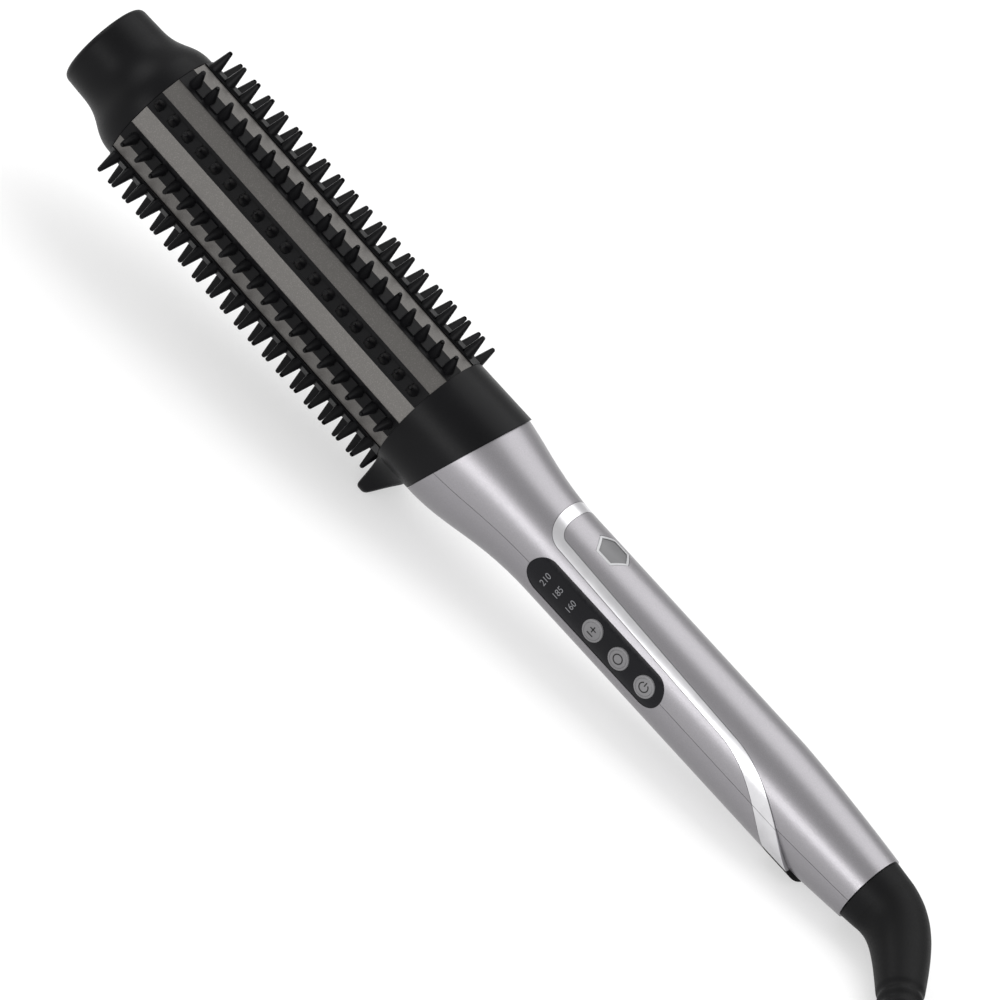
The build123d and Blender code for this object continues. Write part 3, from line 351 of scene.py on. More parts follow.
def shader_socket(finish, name):
    return finish.node_tree.nodes["Principled BSDF"].inputs[name]


def feed(tree, socket, value):
    """Links a socket to an input, or sets the input to a value."""
    if isinstance(value, bpy.types.NodeSocket):
        tree.links.new(value, socket)
    else:
        socket.default_value = value


def new_node(tree, kind, **values):
    """A node with its settings, named in lower case, and its inputs."""
    node = tree.nodes.new(kind)
    for key, value in values.items():
        if key.islower():
            setattr(node, key, value)
        else:
            feed(tree, node.inputs[key.replace("_", " ")], value)
    return node


def add_node(finish, kind, **values):
    return new_node(finish.node_tree, "ShaderNode" + kind, **values)


def to_shader(finish, source, name):
    """Lets a pattern drive one of the shader's sockets."""
    feed(finish.node_tree, shader_socket(finish, name), source)


def object_space(finish, stretch=(1, 1, 1)):
    place_of = add_node(finish, "TexCoord").outputs["Object"]
    return add_node(finish, "Mapping", Vector=place_of, Scale=stretch).outputs["Vector"]


def noise(finish, scale, detail=3.0, stretch=(1, 1, 1)):
    place_of = object_space(finish, stretch)
    return add_node(finish, "TexNoise", Vector=place_of, Scale=scale, Detail=detail).outputs["Fac"]


def spread(finish, source, low, high, start=0.35, end=0.65):
    """Maps a pattern's values onto low to high."""
    limits = {"From_Min": start, "From_Max": end, "To_Min": low, "To_Max": high}
    return add_node(finish, "MapRange", Value=source, **limits).outputs["Result"]


def tinted(finish, source, dark, light):
    """Lets a pattern run the base colour from dark to light."""
    blend = add_node(finish, "Mix", data_type="RGBA")
    for socket, value in ((MIX_FACTOR, source), (MIX_DARK, (*dark, 1)), (MIX_LIGHT, (*light, 1))):
        feed(finish.node_tree, blend.inputs[socket], value)
    to_shader(finish, blend.outputs[MIX_COLOUR], "Base Color")


def rough(finish, source):
    to_shader(finish, source, "Roughness")


def bumped(finish, source, distance, strength=0.5):
    bump = add_node(finish, "Bump", Strength=strength, Distance=distance, Height=source)
    to_shader(finish, bump.outputs["Normal"], "Normal")


def shade(colour, factor):
    """A colour made darker or lighter."""
    return tuple(min(1.0, c * factor) for c in colour)


def moulded(name, colour, roughness=0.45, grain=2600, depth=0.00002, variation=0.12, **sockets):
    """Injection-moulded plastic: an even colour, a fine spark-eroded grain and slight flow marks."""
    if max(colour) < NEAR_BLACK:
        sockets.setdefault("Specular_IOR_Level", 0.1)
    finish = new_finish(name, colour, roughness=roughness, **sockets)
    flow = noise(finish, 60, 2)
    tinted(finish, spread(finish, flow, 0, 1), shade(colour, 1 - variation), shade(colour, 1 + variation))
    fine = noise(finish, grain, 2)
    rough(finish, spread(finish, fine, roughness - 0.04, roughness + 0.05))
    bumped(finish, fine, depth, 0.6)
    return finish


def plated(name, colour, roughness, brushing=(1, 1, 1), depth=0.000004, scale=900, metallic=1.0, wear=0.2):
    """Bare or plated metal with fine marks, drawn out along the brushing."""
    finish = new_finish(name, colour, metallic=metallic, roughness=roughness)
    marks = noise(finish, scale, 3, brushing)
    rough(finish, spread(finish, marks, max(0.02, roughness * (1 - wear)), roughness * (1 + wear)))
    tinted(finish, spread(finish, marks, 0, 1, 0.3, 0.7), shade(colour, 0.95), shade(colour, 1.03))
    if depth:
        bumped(finish, marks, depth)
    return finish


def flecked(name, colour, fleck, size, amount, metallic, roughness):
    """A coating with small pale flecks scattered through it."""
    finish = new_finish(name, colour, metallic, roughness)
    cells = add_node(finish, "TexVoronoi", Vector=object_space(finish), Scale=1 / size)
    brightness = add_node(finish, "SeparateColor", Color=cells.outputs["Color"]).outputs["Red"]
    tinted(finish, spread(finish, brightness, 0, 1, 1 - amount, 1 - amount / 3), colour, shade(colour, fleck))
    fine = noise(finish, 1 / size / 2, 3)
    rough(finish, spread(finish, fine, roughness - 0.06, roughness + 0.08))
    bumped(finish, fine, 0.00001)
    return finish


def circuit_board(name):
    """Green solder mask with paler copper tracks under it."""
    finish = new_finish(name, (0.01, 0.12, 0.05), roughness=0.35)
    tracks = add_node(finish, "TexBrick", Vector=object_space(finish), Scale=180.0, Mortar_Size=0.03)
    tinted(finish, tracks.outputs["Fac"], (0.006, 0.09, 0.035), (0.03, 0.2, 0.08))
    bumped(finish, tracks.outputs["Fac"], 0.00002)
    rough(finish, spread(finish, noise(finish, 500, 2), 0.3, 0.42))
    return finish


FINISHES = {}


def make_finishes(scene):
    """All the finishes, in the colours that the settings give."""
    shells = scene.brush_shells
    dark = shells.dark_plastic
    button = tuple(scene.brush_controls.button_colour)
    bristle = tuple(scene.brush_bristles.colour)
    FINISHES.update(
        # what shows
        coating=flecked("Ceramic coating", tuple(shells.coating), 1.35, 0.0002, 0.2, 0.6, 0.38),
        silver=flecked("Silver paint", tuple(shells.silver), 1.16, 0.00009, 0.4, 0.85, 0.36),
        chrome=plated(
            "Chrome plating", (0.6, 0.595, 0.61), 0.28, scale=300, depth=0, metallic=0.8, wear=0.02
        ),
        pin=plated("Pin plating", (0.78, 0.76, 0.7), 0.14, (0.05, 1, 1)),
        bristle=moulded("Bristle nylon", bristle, 0.38, 3000),
        cap=moulded("Cap plastic", tuple(dark), 0.42, 2400),
        disc=moulded("Disc plastic", shade(dark, 0.6), 0.3, 2400),
        collar=moulded("Collar plastic", shade(dark, 1.1), 0.36, 2400),
        panel=moulded("Panel gloss", (0.0045, 0.0045, 0.006), 0.2, 900, 0.000002, Specular_IOR_Level=0.15),
        button=moulded("Button plastic", button, 0.42),
        print_pale=moulded("Pale print", (0.15, 0.15, 0.16), 0.5, 3000, 0.000002),
        print_dark=moulded("Dark print", (0.02, 0.02, 0.02), 0.5, 3000, 0.000002),
        lens=moulded("Lens plastic", (0.15, 0.15, 0.154), 0.4, 900, 0.000002, Specular_IOR_Level=0.3),
        lip=moulded("Lens lip", (0.42, 0.42, 0.43), 0.3, 2000, 0.000004),
        pad=moulded("Rest pad rubber", (0.006, 0.006, 0.006), 0.6, 2200, 0.00004),
        swivel=moulded("Swivel plastic", (0.0045, 0.0045, 0.005), 0.48, 2400),
        rubber=moulded("Lead rubber", (0.0045, 0.0045, 0.0048), 0.5, 1800, 0.00003),
        tie=moulded("Tie webbing", (0.02, 0.02, 0.021), 0.75, 2000, 0.00006),
        # what lies inside
        holder=moulded("Insulator plastic", (0.1, 0.09, 0.08), 0.55, 1400, 0.00003, 0.25),
        guide=moulded("Light guide", (0.82, 0.84, 0.85), 0.22, 700, 0.000004, 0.05, Transmission_Weight=0.6),
        board=circuit_board("Control board laminate"),
        switch=moulded("Switch housing", (0.02, 0.02, 0.02), 0.45, 2000),
        capacitor=moulded("Capacitor case", (0.72, 0.5, 0.06), 0.4, 1500, 0.00002, 0.08),
        triac=moulded("Semiconductor case", (0.025, 0.025, 0.028), 0.5, 1800, 0.00003),
        steel=plated("Screw steel", (0.55, 0.54, 0.52), 0.28, depth=0.000006),
        core=plated("Core aluminium", (0.62, 0.62, 0.63), 0.35, (0.02, 1, 1)),
        heater=moulded("Heater film", (0.72, 0.5, 0.24), 0.35, 300, 0.00004, 0.25),
        fuse=plated("Fuse case", (0.6, 0.58, 0.55), 0.25, (0.05, 1, 1)),
        sensor=moulded("Sensor sleeve", (0.72, 0.32, 0.1), 0.2, 800, 0.00001, 0.15),
        brass=plated("Contact brass", (0.75, 0.55, 0.2), 0.25),
        wire_red=moulded("Silicone wire red", (0.5, 0.03, 0.02), 0.5, 1500),
        wire_white=moulded("Sensor wire white", (0.75, 0.75, 0.72), 0.45, 1500, variation=0.06),
        wire_brown=moulded("Mains wire brown", (0.13, 0.05, 0.025), 0.42, 1500),
        # under the brush: a pale floor that glows a little
        floor=moulded(
            "Studio floor", (0.45, 0.45, 0.45), 0.9, 40, variation=0.004,
            Emission_Color=(1, 1, 1, 1), Emission_Strength=0.5,
        ),
    )


# ---------------------------------------------------------------- bristle strips


RAIL = {"Bottom_Width": 0.0059, "Top_Width": 0.0048, "Height": 0.0021, "Offset": 0.0}
RAIL_GAP = 0.00005  # between a rail's end and the barrel's
SUNK = 0.0004  # how deep a bristle's foot goes into its rail
BLOCK_SUNK = 0.0006
BLUNT, CREST = 0.85, 0.5  # a bristle's end: widths of its two cones, in tip radii


def bristle_tree(settings):
    """Node tree of all the bristle strips round the barrel: rails, blocks and rounded bristles."""
    tree = bpy.data.node_groups.new("Bristle strips", "GeometryNodeTree")
    tree.interface.new_socket(name="Geometry", in_out="OUTPUT", socket_type="NodeSocketGeometry")
    for name, value in {
        "Rows": settings.rows,
        "Bristles": settings.count,
        "Pitch": settings.pitch,
        "Start": settings.start,
        "Crown": settings.crown,
        "Reach": settings.reach,
        "Root width": settings.root_width,
        "Tip width": settings.tip_width,
        "Block length": settings.block_length,
        "Block width": settings.block_width,
        "Block height": settings.block_height,
        "Barrel length": BARREL_END,
    }.items():
        kind = "NodeSocketInt" if isinstance(value, int) else "NodeSocketFloat"
        tree.interface.new_socket(name=name, in_out="INPUT", socket_type=kind).default_value = value
    given = tree.nodes.new("NodeGroupInput").outputs

    def made(kind, **values):
        return new_node(tree, "GeometryNode" + kind, **values).outputs[0]

    def in_order(kind, values, **setting):
        """The output of a node whose first inputs are given in order."""
        node = new_node(tree, kind, **setting)
        for socket, value in zip(node.inputs, values):
            feed(tree, socket, value)
        return node.outputs[0]

    def maths(operation, *values):
        return in_order("ShaderNodeMath", values, operation=operation)

    def plus(a, b):
        return maths("ADD", a, b)

    def minus(a, b):
        return maths("SUBTRACT", a, b)

    def times(a, b):
        return maths("MULTIPLY", a, b)

    def vector(x=0.0, y=0.0, z=0.0):
        return in_order("ShaderNodeCombineXYZ", (x, y, z))

    def lifted(shape, height):
        return made("Transform", Geometry=shape, Translation=vector(z=height))

    def cone(bottom, top, height, at, cap="NONE"):
        sizes = {"Radius_Bottom": bottom, "Radius_Top": top, "Depth": height, "Vertices": 10}
        return lifted(made("MeshCone", fill_type=cap, **sizes), at)

    def together(*parts):
        node = new_node(tree, "GeometryNodeJoinGeometry")
        for part in reversed(parts):
            tree.links.new(part, node.inputs[0])
        return node.outputs[0]

    def row_of(shape, count, first):
        step = vector(given["Pitch"])
        line = made("MeshLine", mode="OFFSET", Count=count, Start_Location=vector(first), Offset=step)
        return made("InstanceOnPoints", Points=line, Instance=shape)

    # one bristle: a drafted shaft and a rounded end
    root, tip = times(given["Root width"], 0.5), times(given["Tip width"], 0.5)
    foot = minus(given["Crown"], SUNK)
    blunt, crest, step = times(tip, BLUNT), times(tip, CREST), times(tip, 0.55)
    shoulder = minus(given["Reach"], blunt)
    bristle = together(
        cone(root, tip, minus(shoulder, foot), foot),
        cone(tip, blunt, step, shoulder),
        cone(blunt, crest, times(tip, 0.3), plus(shoulder, step), cap="NGON"),
    )
    # one block between two bristles
    depth = plus(given["Block height"], BLOCK_SUNK)
    top = plus(given["Crown"], given["Block height"])
    block = made("MeshCube", Size=vector(given["Block length"], given["Block width"], depth))
    block = lifted(block, minus(top, times(depth, 0.5)))

    # the rail: a dovetail bar as long as the barrel
    middle = minus(given["Crown"], RAIL["Height"] / 2)
    start = vector(RAIL_GAP, 0, middle)
    end = vector(minus(given["Barrel length"], RAIL_GAP), 0, middle)
    rail = made(
        "CurveToMesh",
        Curve=made("CurvePrimitiveLine", Start=start, End=end),
        Profile_Curve=made("CurvePrimitiveQuadrilateral", mode="TRAPEZOID", **RAIL),
        Fill_Caps=True,
    )

    # alternate strips are turned end for end, so their bristles start a little further on
    between = minus(given["Bristles"], 1)
    turned = minus(minus(given["Barrel length"], given["Start"]), times(given["Pitch"], between))
    half = times(given["Rows"], 0.5)
    angle = maths("DIVIDE", 2 * pi, given["Rows"])
    rows = []
    for first, offset in ((turned, 0.5), (given["Start"], 1.5)):
        blocks_from = plus(first, times(given["Pitch"], 0.5))
        strip = together(
            rail, row_of(bristle, given["Bristles"], first), row_of(block, between, blocks_from)
        )
        turn = times(plus(times(made("InputIndex"), 2), offset), angle)
        line = made("MeshLine", mode="OFFSET", Count=half, Offset=(0, 0, 0))
        rows.append(made("InstanceOnPoints", Points=line, Instance=strip, Rotation=vector(turn)))
    real = made("RealizeInstances", Geometry=together(*rows))
    weld = made("MergeByDistance", Geometry=real, Distance=1e-6)
    paint = made("SetMaterial", Geometry=weld, Material=FINISHES["bristle"])
    tree.links.new(paint, tree.nodes.new("NodeGroupOutput").inputs[0])
    return tree


def grown_mesh(tree, pose):
    """The plain mesh that a node tree makes, put in its place."""
    holder = link("grown", bpy.data.meshes.new("grown"))
    modifier = holder.modifiers.new("Grow", "NODES")
    modifier.node_group = tree
    for item in tree.interface.items_tree:
        if item.in_out == "INPUT":
            modifier[item.identifier] = item.default_value
    bm = opened(plain_mesh(holder))
    bmesh.ops.recalc_face_normals(bm, faces=bm.faces)
    return to_mesh(bm, pose, 38)


class BRUSH_OT_bristle_strips(bpy.types.Operator):
    """Grow the strips of bristles that sit in the barrel's corners"""

    bl_idname = "brush.bristle_strips"
    bl_label = "Bristle Strips"

    def execute(self, context):
        settings = context.scene.brush_bristles
        mesh = grown_mesh(bristle_tree(settings), BARREL_POSE)
        nodes = [f"bristle_strip_{i + 1:02d}" for i in range(settings.rows)]
        place("bristle_strips", mesh, "brush", "bristle", nodes)
        return {"FINISHED"}


# ---------------------------------------------------------------- barrel and tip


class BRUSH_OT_barrel(bpy.types.Operator):
    """Coat the heated barrel"""

    bl_idname = "brush.barrel"
    bl_label = "Heated Barrel"

    def execute(self, context):
        mesh = to_mesh(merged("heated_barrel"), sharp=12)
        place("coated_barrel", mesh, "brush", "coating", ["heated_barrel"])
        return {"FINISHED"}


class BRUSH_OT_cool_tip(bpy.types.Operator):
    """Turn the flared tip cap and the disc in its end"""

    bl_idname = "brush.cool_tip"
    bl_label = "Cool Tip"

    def execute(self, context):
        front, bore, wall, rim = -0.00005, 0.0172, 0.002, 0.0192
        nose, seat, recess = -0.026, -0.0245, 0.01055
        screw_seat, web, hollow_end = -0.0229, -0.0213, 0.0127
        head, shank = 0.0031, 0.00155
        flare = ((-0.001, rim), (-0.00816, rim), (-0.00901, 0.0150), (-0.017, 0.0147))
        hollow = [(x, radius - wall) for x, radius in flare]
        profile = [
            *round_corner((front, bore), (front, rim), flare[0], 0.0004),
            *bezier(flare, 24),
            *round_corner(flare[-1], (nose, 0.0144), (nose, 0.011), 0.0021, 8),
            *round_corner((nose, 0.0144), (nose, recess), (seat, recess), 0.0003),
            (seat, recess),
            (seat, head),
            (screw_seat, head),
            (screw_seat, shank),
            (web, shank),
            (web, hollow_end),
            *reversed(bezier(hollow, 24)),
            (front, bore),
        ]
        disc = [
            (-0.0256, 0.0),
            (-0.0256, 0.006),
            (-0.0257, 0.0085),
            *round_corner((-0.0257, 0.0085), (-0.0257, 0.0105), (seat, 0.0105), 0.0005, 5),
            (seat, 0.0105),
            (seat, 0.0),
        ]
        for name, outline, finish, node in (
            ("cool_tip_cap", profile, "cap", "tip_cap"),
            ("cool_tip_disc", disc, "disc", "tip_end_disc"),
        ):
            place(name, to_mesh(lathe(outline), BARREL_POSE), "brush", finish, [node])
        return {"FINISHED"}


# ---------------------------------------------------------------- handle


FIN_REACH = 0.03  # from the handle's axis down to the fin's foot
FIN_HALF_WIDTH = 0.01
FIN_EDGE = 0.0011  # rounding of the fin's edges
COLLAR_ROUND = 0.01945
HAIR = 1e-9  # keeps a fold's two sides apart
HANDLE_SKINS = (
    ("upper_shell", "upper_handle_shell", "silver", "shell_silver"),
    ("lower_shell", "lower_handle_shell", "silver", "shell_silver"),
    ("top_cover", "silver_top_cover", "silver", "shell_silver"),
    ("trim_band", "chrome_trim_band", "chrome", "chrome_trim"),
    ("trim_foot_left", "chrome_trim_left", "chrome", "chrome_trim"),
    ("trim_foot_right", "chrome_trim_right", "chrome", "chrome_trim"),
    ("rest_pad", "soft_rest_pad", "pad", "soft_black"),
    ("control_panel", "gloss_control_panel", "panel", "panel_black"),
    ("collar", "collar_with_fin", "collar", "collar_plastic"),
)


class BRUSH_OT_handle(bpy.types.Operator):
    """Finish the mouldings of the handle, its trim and the collar"""

    bl_idname = "brush.handle"
    bl_label = "Handle"

    def execute(self, context):
        for node, name, finish, slot in HANDLE_SKINS:
            mesh = to_mesh(merged(node), sharp=28)
            if node == "collar":
                mesh = self.with_fin(mesh)
            turned_finish(mesh, HANDLE_POSE)
            place(name, mesh, "brush", finish, [node])
        return {"FINISHED"}

    def with_fin(self, mesh):
        """The collar cut back to its round and given a fin that flows out of its sides."""
        ends = (BARREL_END - 0.004, BARREL_END + 0.03)
        drum = [(ends[0], 0.0), (ends[0], COLLAR_ROUND), (ends[1], COLLAR_ROUND), (ends[1], 0.0)]
        collar, around = link("collar", mesh), link("round", to_mesh(lathe(drum, 128), HANDLE_POSE))
        cut = collar.modifiers.new("Cut", "BOOLEAN")
        cut.operation = "INTERSECT"
        cut.solver = "EXACT"
        cut.object = around
        bm = opened(plain_mesh(collar))
        bpy.data.objects.remove(around)
        add_to(bm, self.fin())
        return to_mesh(bm, None, 28)

    def fin(self):
        """A tab across the brush, thin and rounded at its foot, blended into the collar's round."""
        lean, inner, clear = tan(HANDLE_BEND), 0.0179, 0.00002
        foot, wide = -FIN_REACH - 0.0003, FIN_HALF_WIDTH
        half = [(0.0, foot), (wide * 0.35, foot), (wide * 0.65, foot)]
        half += round_corner((0.0, foot), (wide, foot), (wide + 0.0012, foot + 0.0123), 0.003, 6)
        half += bezier(((wide + 0.0004, -0.024), (wide + 0.0009, -0.0174), (0.01486, -0.01247)), 10)
        outline = [Vector((-y, z)) for y, z in half[:0:-1]] + [Vector(p) for p in half]
        outward = []
        for i in range(len(outline)):
            run = outline[min(i + 1, len(outline) - 1)] - outline[max(i - 1, 0)]
            outward.append(Vector((run.y, -run.x)).normalized())
        quarter = [(1 - sin(t), 1 - cos(t)) for t in (0, pi / 6, pi / 3, pi / 2)]

        def row(points, share):
            """Vertices on the fin's front face, or on its rear face where the share is below zero."""
            found = []
            for at in points:
                station = BARREL_END + share
                if share >= 0:
                    station += 0.00003 + lean * at.y
                else:
                    station += min(0.0027 + 0.55 * (at.y + FIN_REACH), 0.0152 + 0.3096 * at.y)
                found.append(bm.verts.new((station, at.x, at.y)))
            return found

        bm = bmesh.new()
        rings = []
        places = [(inset * FIN_EDGE, deep * FIN_EDGE) for inset, deep in quarter]
        places += [(inset, -deep - HAIR) for inset, deep in reversed(places)]
        for inset, share in places:
            rings.append(row([at - away * inset for at, away in zip(outline, outward)], share))
        hubs = [row([at.normalized() * inner for at in outline], share) for share in (0.0, -HAIR)]
        loops = [hubs[0], *rings, hubs[1], hubs[0]]
        for loop, following in zip(loops, loops[1:]):
            for i in range(len(outline) - 1):
                bm.faces.new((loop[i], loop[i + 1], following[i + 1], following[i]))
        for i in (0, -1):
            bm.faces.new([loop[i] for loop in loops[:-1]])
        bm.transform(HANDLE_POSE)
        for vertex in bm.verts:
            vertex.co.z = max(vertex.co.z, clear)
        bmesh.ops.recalc_face_normals(bm, faces=bm.faces)
        return bm


# ---------------------------------------------------------------- controls


BUTTONS = (("button_temperature", 0.1953), ("button_mode", 0.20615), ("button_power", 0.2170))
BUTTON_FACE = 0.01445  # from the handle's axis
BUTTON_RADIUS = 0.00345
FIGURES = (("210", 0.1755), ("185", 0.1807), ("160", 0.1861))
PANEL_FACE = 0.01407
PRINT = 0.00006  # thickness of the figures and symbols
FONT_SIZE = 1.38  # over the height of its figures
PANEL_SIDE = Matrix(((1, 0, 0, 0), (0, 0, -1, 0), (0, 1, 0, 0), (0, 0, 0, 1)))


def on_panel(station, face):
    """Pose of flat work on the panel: its X along the handle, its Y up, its Z out of the panel."""
    return HANDLE_POSE @ Matrix.Translation((station, -face, 0)) @ PANEL_SIDE


def raised(shapes, pose):
    """Flat outlines, each a closed loop of (x, y), as thin raised print."""
    bm = bmesh.new()
    for loop in shapes:
        add_to(bm, loft([[(x, y, z) for x, y in loop] for z in (0, PRINT)]))
    return to_mesh(bm, pose)


def bar(x0, y0, x1, y1, width):
    """The outline of a straight bar from one point to another."""
    start, end = Vector((x0, y0)), Vector((x1, y1))
    along = (end - start).normalized()
    side = Vector((-along.y, along.x)) * width / 2
    return [start + side, start - side, end - side, end + side]


def arc_bars(radius, start, end, width, steps=20):
    """A bent bar as a row of short quads round the origin."""
    angles = [radians(start + (end - start) * i / steps) for i in range(steps + 1)]
    inner, outer = radius - width / 2, radius + width / 2
    return [
        [(r * cos(t), r * sin(t)) for r, t in ((inner, a), (outer, a), (outer, b), (inner, b))]
        for a, b in zip(angles, angles[1:])
    ]


class BRUSH_OT_buttons(bpy.types.Operator):
    """Turn the buttons and print their symbols"""

    bl_idname = "brush.buttons"
    bl_label = "Buttons"

    def execute(self, context):
        size = context.scene.brush_controls.icon_radius
        line = size * 0.24
        symbols = {
            "button_temperature": [
                bar(-size * 0.75, size * 0.4, size * 0.75, size * 0.4, line),
                bar(0, -size * 0.3, 0, size * 1.1, line),
                bar(-size * 0.75, -size * 0.85, size * 0.75, -size * 0.85, line),
            ],
            "button_mode": arc_bars(size, 0, 360, line),
            "button_power": arc_bars(size, -240, 60, line) + [bar(0, size * 0.2, 0, size * 1.25, line)],
        }
        flange, back, front, face, radius = 0.0042, 0.01005, 0.01095, BUTTON_FACE, BUTTON_RADIUS
        profile = [
            (back, 0.0),
            (back, flange),
            (front, flange),
            (front, radius),
            *round_corner((back, radius), (face, radius), (face, 0.0), 0.0004, 5),
            # a fine groove just inside the edge
            (face - 0.00001, radius * 0.83),
            (face - 0.00016, radius * 0.79),
            (face - 0.00003, radius * 0.74),
            (face, 0.0),
        ]
        turn_out = Matrix.Rotation(radians(-90), 4, "Z")
        for node, station in BUTTONS:
            mesh = to_mesh(lathe(profile, 64), HANDLE_POSE @ Matrix.Translation((station, 0, 0)) @ turn_out)
            place(node + "_cap", mesh, node, "button", [node])
            printed = raised(symbols[node], on_panel(station, face - PRINT / 2))
            place(node + "_symbol", printed, node, "print_dark", ())
        return {"FINISHED"}


class BRUSH_OT_figures(bpy.types.Operator):
    """Print the temperature figures on the panel"""

    bl_idname = "brush.figures"
    bl_label = "Temperature Figures"

    def execute(self, context):
        for figure, station in FIGURES:
            curve = bpy.data.curves.new("figure", "FONT")
            curve.body = figure
            curve.align_x = "CENTER"
            curve.align_y = "CENTER"
            curve.size = context.scene.brush_controls.figure_height * FONT_SIZE
            curve.extrude = PRINT / 2
            bm = opened(plain_mesh(link("figure", curve)))
            bmesh.ops.remove_doubles(bm, verts=bm.verts, dist=1e-7)
            # the figures read across the handle, with their tops towards the barrel
            mesh = to_mesh(bm, on_panel(station, PANEL_FACE) @ Matrix.Rotation(radians(90), 4, "Z"))
            place("figure_" + figure, mesh, "brush", "print_pale", ())
        return {"FINISHED"}


class BRUSH_OT_status_lens(bpy.types.Operator):
    """Shape the six-sided status lens with its pale lip"""

    bl_idname = "brush.status_lens"
    bl_label = "Status Lens"

    def execute(self, context):
        lip = context.scene.brush_controls.lens_lip
        station, half, skin, base, proud = 0.1821, 0.0052, 0.0142, 0.01305, 0.00002
        per_side = 8
        # half width and radius of each ring, from the lens's foot over its lip to its middle
        rings = (
            (half, base),
            (half, skin - 0.0002),
            (half - 0.00015, skin + proud),
            (half - lip + 0.00015, skin + proud),
            (half - lip, skin - 0.0001),
            (half - lip - 0.00005, skin - 0.00035),
            (half * 0.55, skin - 0.0003),
            (half * 0.25, skin - 0.00028),
        )
        bm = bmesh.new()
        loops = []
        count = 6 * per_side
        for width, radius in rings:
            corner = width / cos(radians(30))
            loop = []
            for i in range(count):
                side, share = i // per_side, i % per_side / per_side
                a, b = radians(60 * side), radians(60 * side + 60)
                x = corner * (cos(a) + (cos(b) - cos(a)) * share)
                y = corner * (sin(a) + (sin(b) - sin(a)) * share)
                loop.append(bm.verts.new((station + x, y, (radius**2 - y**2) ** 0.5)))
            loops.append(loop)
        for ring, (loop, following) in enumerate(zip(loops, loops[1:])):
            for i in range(count):
                j = (i + 1) % count
                face = bm.faces.new((loop[i], loop[j], following[j], following[i]))
                face.material_index = int(ring > 3)  # the lip ends at the fourth ring
        for loop, height, index in ((loops[-1], rings[-1][1], 1), (loops[0], base, 0)):
            middle = sum((v.co.copy() for v in loop), Vector()) / count
            middle.z = height
            centre = bm.verts.new(middle)
            for i in range(count):
                face = bm.faces.new((loop[i], loop[(i + 1) % count], centre))
                face.material_index = index
        bmesh.ops.recalc_face_normals(bm, faces=bm.faces)
        mesh = to_mesh(bm, HANDLE_POSE, 25)
        parts = [polygon.material_index for polygon in mesh.polygons]
        place("hexagon_status_lens", mesh, "brush", "lip", ["status_lens"])
        mesh.materials.append(FINISHES["lens"])
        mesh.polygons.foreach_set("material_index", parts)
        return {"FINISHED"}


# ---------------------------------------------------------------- lead


COIL_CENTRE = Vector((CUP.x + 0.0947, -0.030, 0))
# each turn's reach, and where in the turn, in degrees, the lead moves over to the next one's
COIL_LANES = (
    *((0.0455, 300), (0.039, 300), (0.0325, 300), (0.026, 230), (0.02925, 160)),
    *((0.03575, 90), (0.04225, 15), (0.039, 0), (0.0325, 360)),
)
COIL_MOVE = 60  # degrees that such a move takes
COIL_SLOPE = 0.2  # steepest climb over a turn below
COIL_START = -134  # degrees round the coil where the lead joins it
COIL_STEPS = 24  # route points in one turn
PLUG_BEARING = radians(71)  # the way the plug points, as it lies on the coil
PLUG_NECK = Vector((0.032087, -0.008373, 0.025158))  # where the lead enters it, from the coil's middle
FLOOR_GAP = 0.0006  # under the lead


def eased(share):
    """From 0 to 1 with a soft start and end."""
    share = max(0.0, min(1.0, share))
    return share * share * (3 - 2 * share)


def wave(turns):
    """From 0 up to 1 and back in each turn."""
    return 0.5 - 0.5 * cos(2 * pi * turns)


def squared(share):
    """A round's share across, drawn out towards a rounded square."""
    return abs(share) ** 0.42 * (1 if share >= 0 else -1)


def settled(route, at, radius):
    """Height at which the lead comes to rest over the turns that are already down."""
    height, touch = radius + FLOOR_GAP, 1.91 * radius
    for a, b in zip(route, route[1:]):
        away, run = at.xy - a.xy, b.xy - a.xy
        share = max(0.0, min(1.0, away.dot(run) / max(run.length_squared, 1e-12)))
        apart = (away - run * share).length
        if apart < touch:
            under = a.z + (b.z - a.z) * share
            height = max(height, under + (touch**2 - apart**2) ** 0.5)
    return height


def lay(laid, at, radius):
    """Sets the next point of the coil down, with a long low climb over what lies below it."""
    at.z = max(at.z, settled(laid[: -COIL_STEPS // 2], at, radius))
    laid.append(at)
    for before, after in zip(laid[-2::-1], laid[:0:-1]):
        climb = COIL_SLOPE * (after.xy - before.xy).length
        if before.z >= after.z - climb:
            break
        before.z = after.z - climb
    if len(laid) > 1:
        at.z = max(at.z, laid[-2].z - COIL_SLOPE * (at.xy - laid[-2].xy).length)


def on_coil(degrees_round, reach, height):
    """A place over the coil, by its bearing from the middle."""
    angle = radians(degrees_round)
    return COIL_CENTRE + Vector((reach * cos(angle), reach * sin(angle), height))


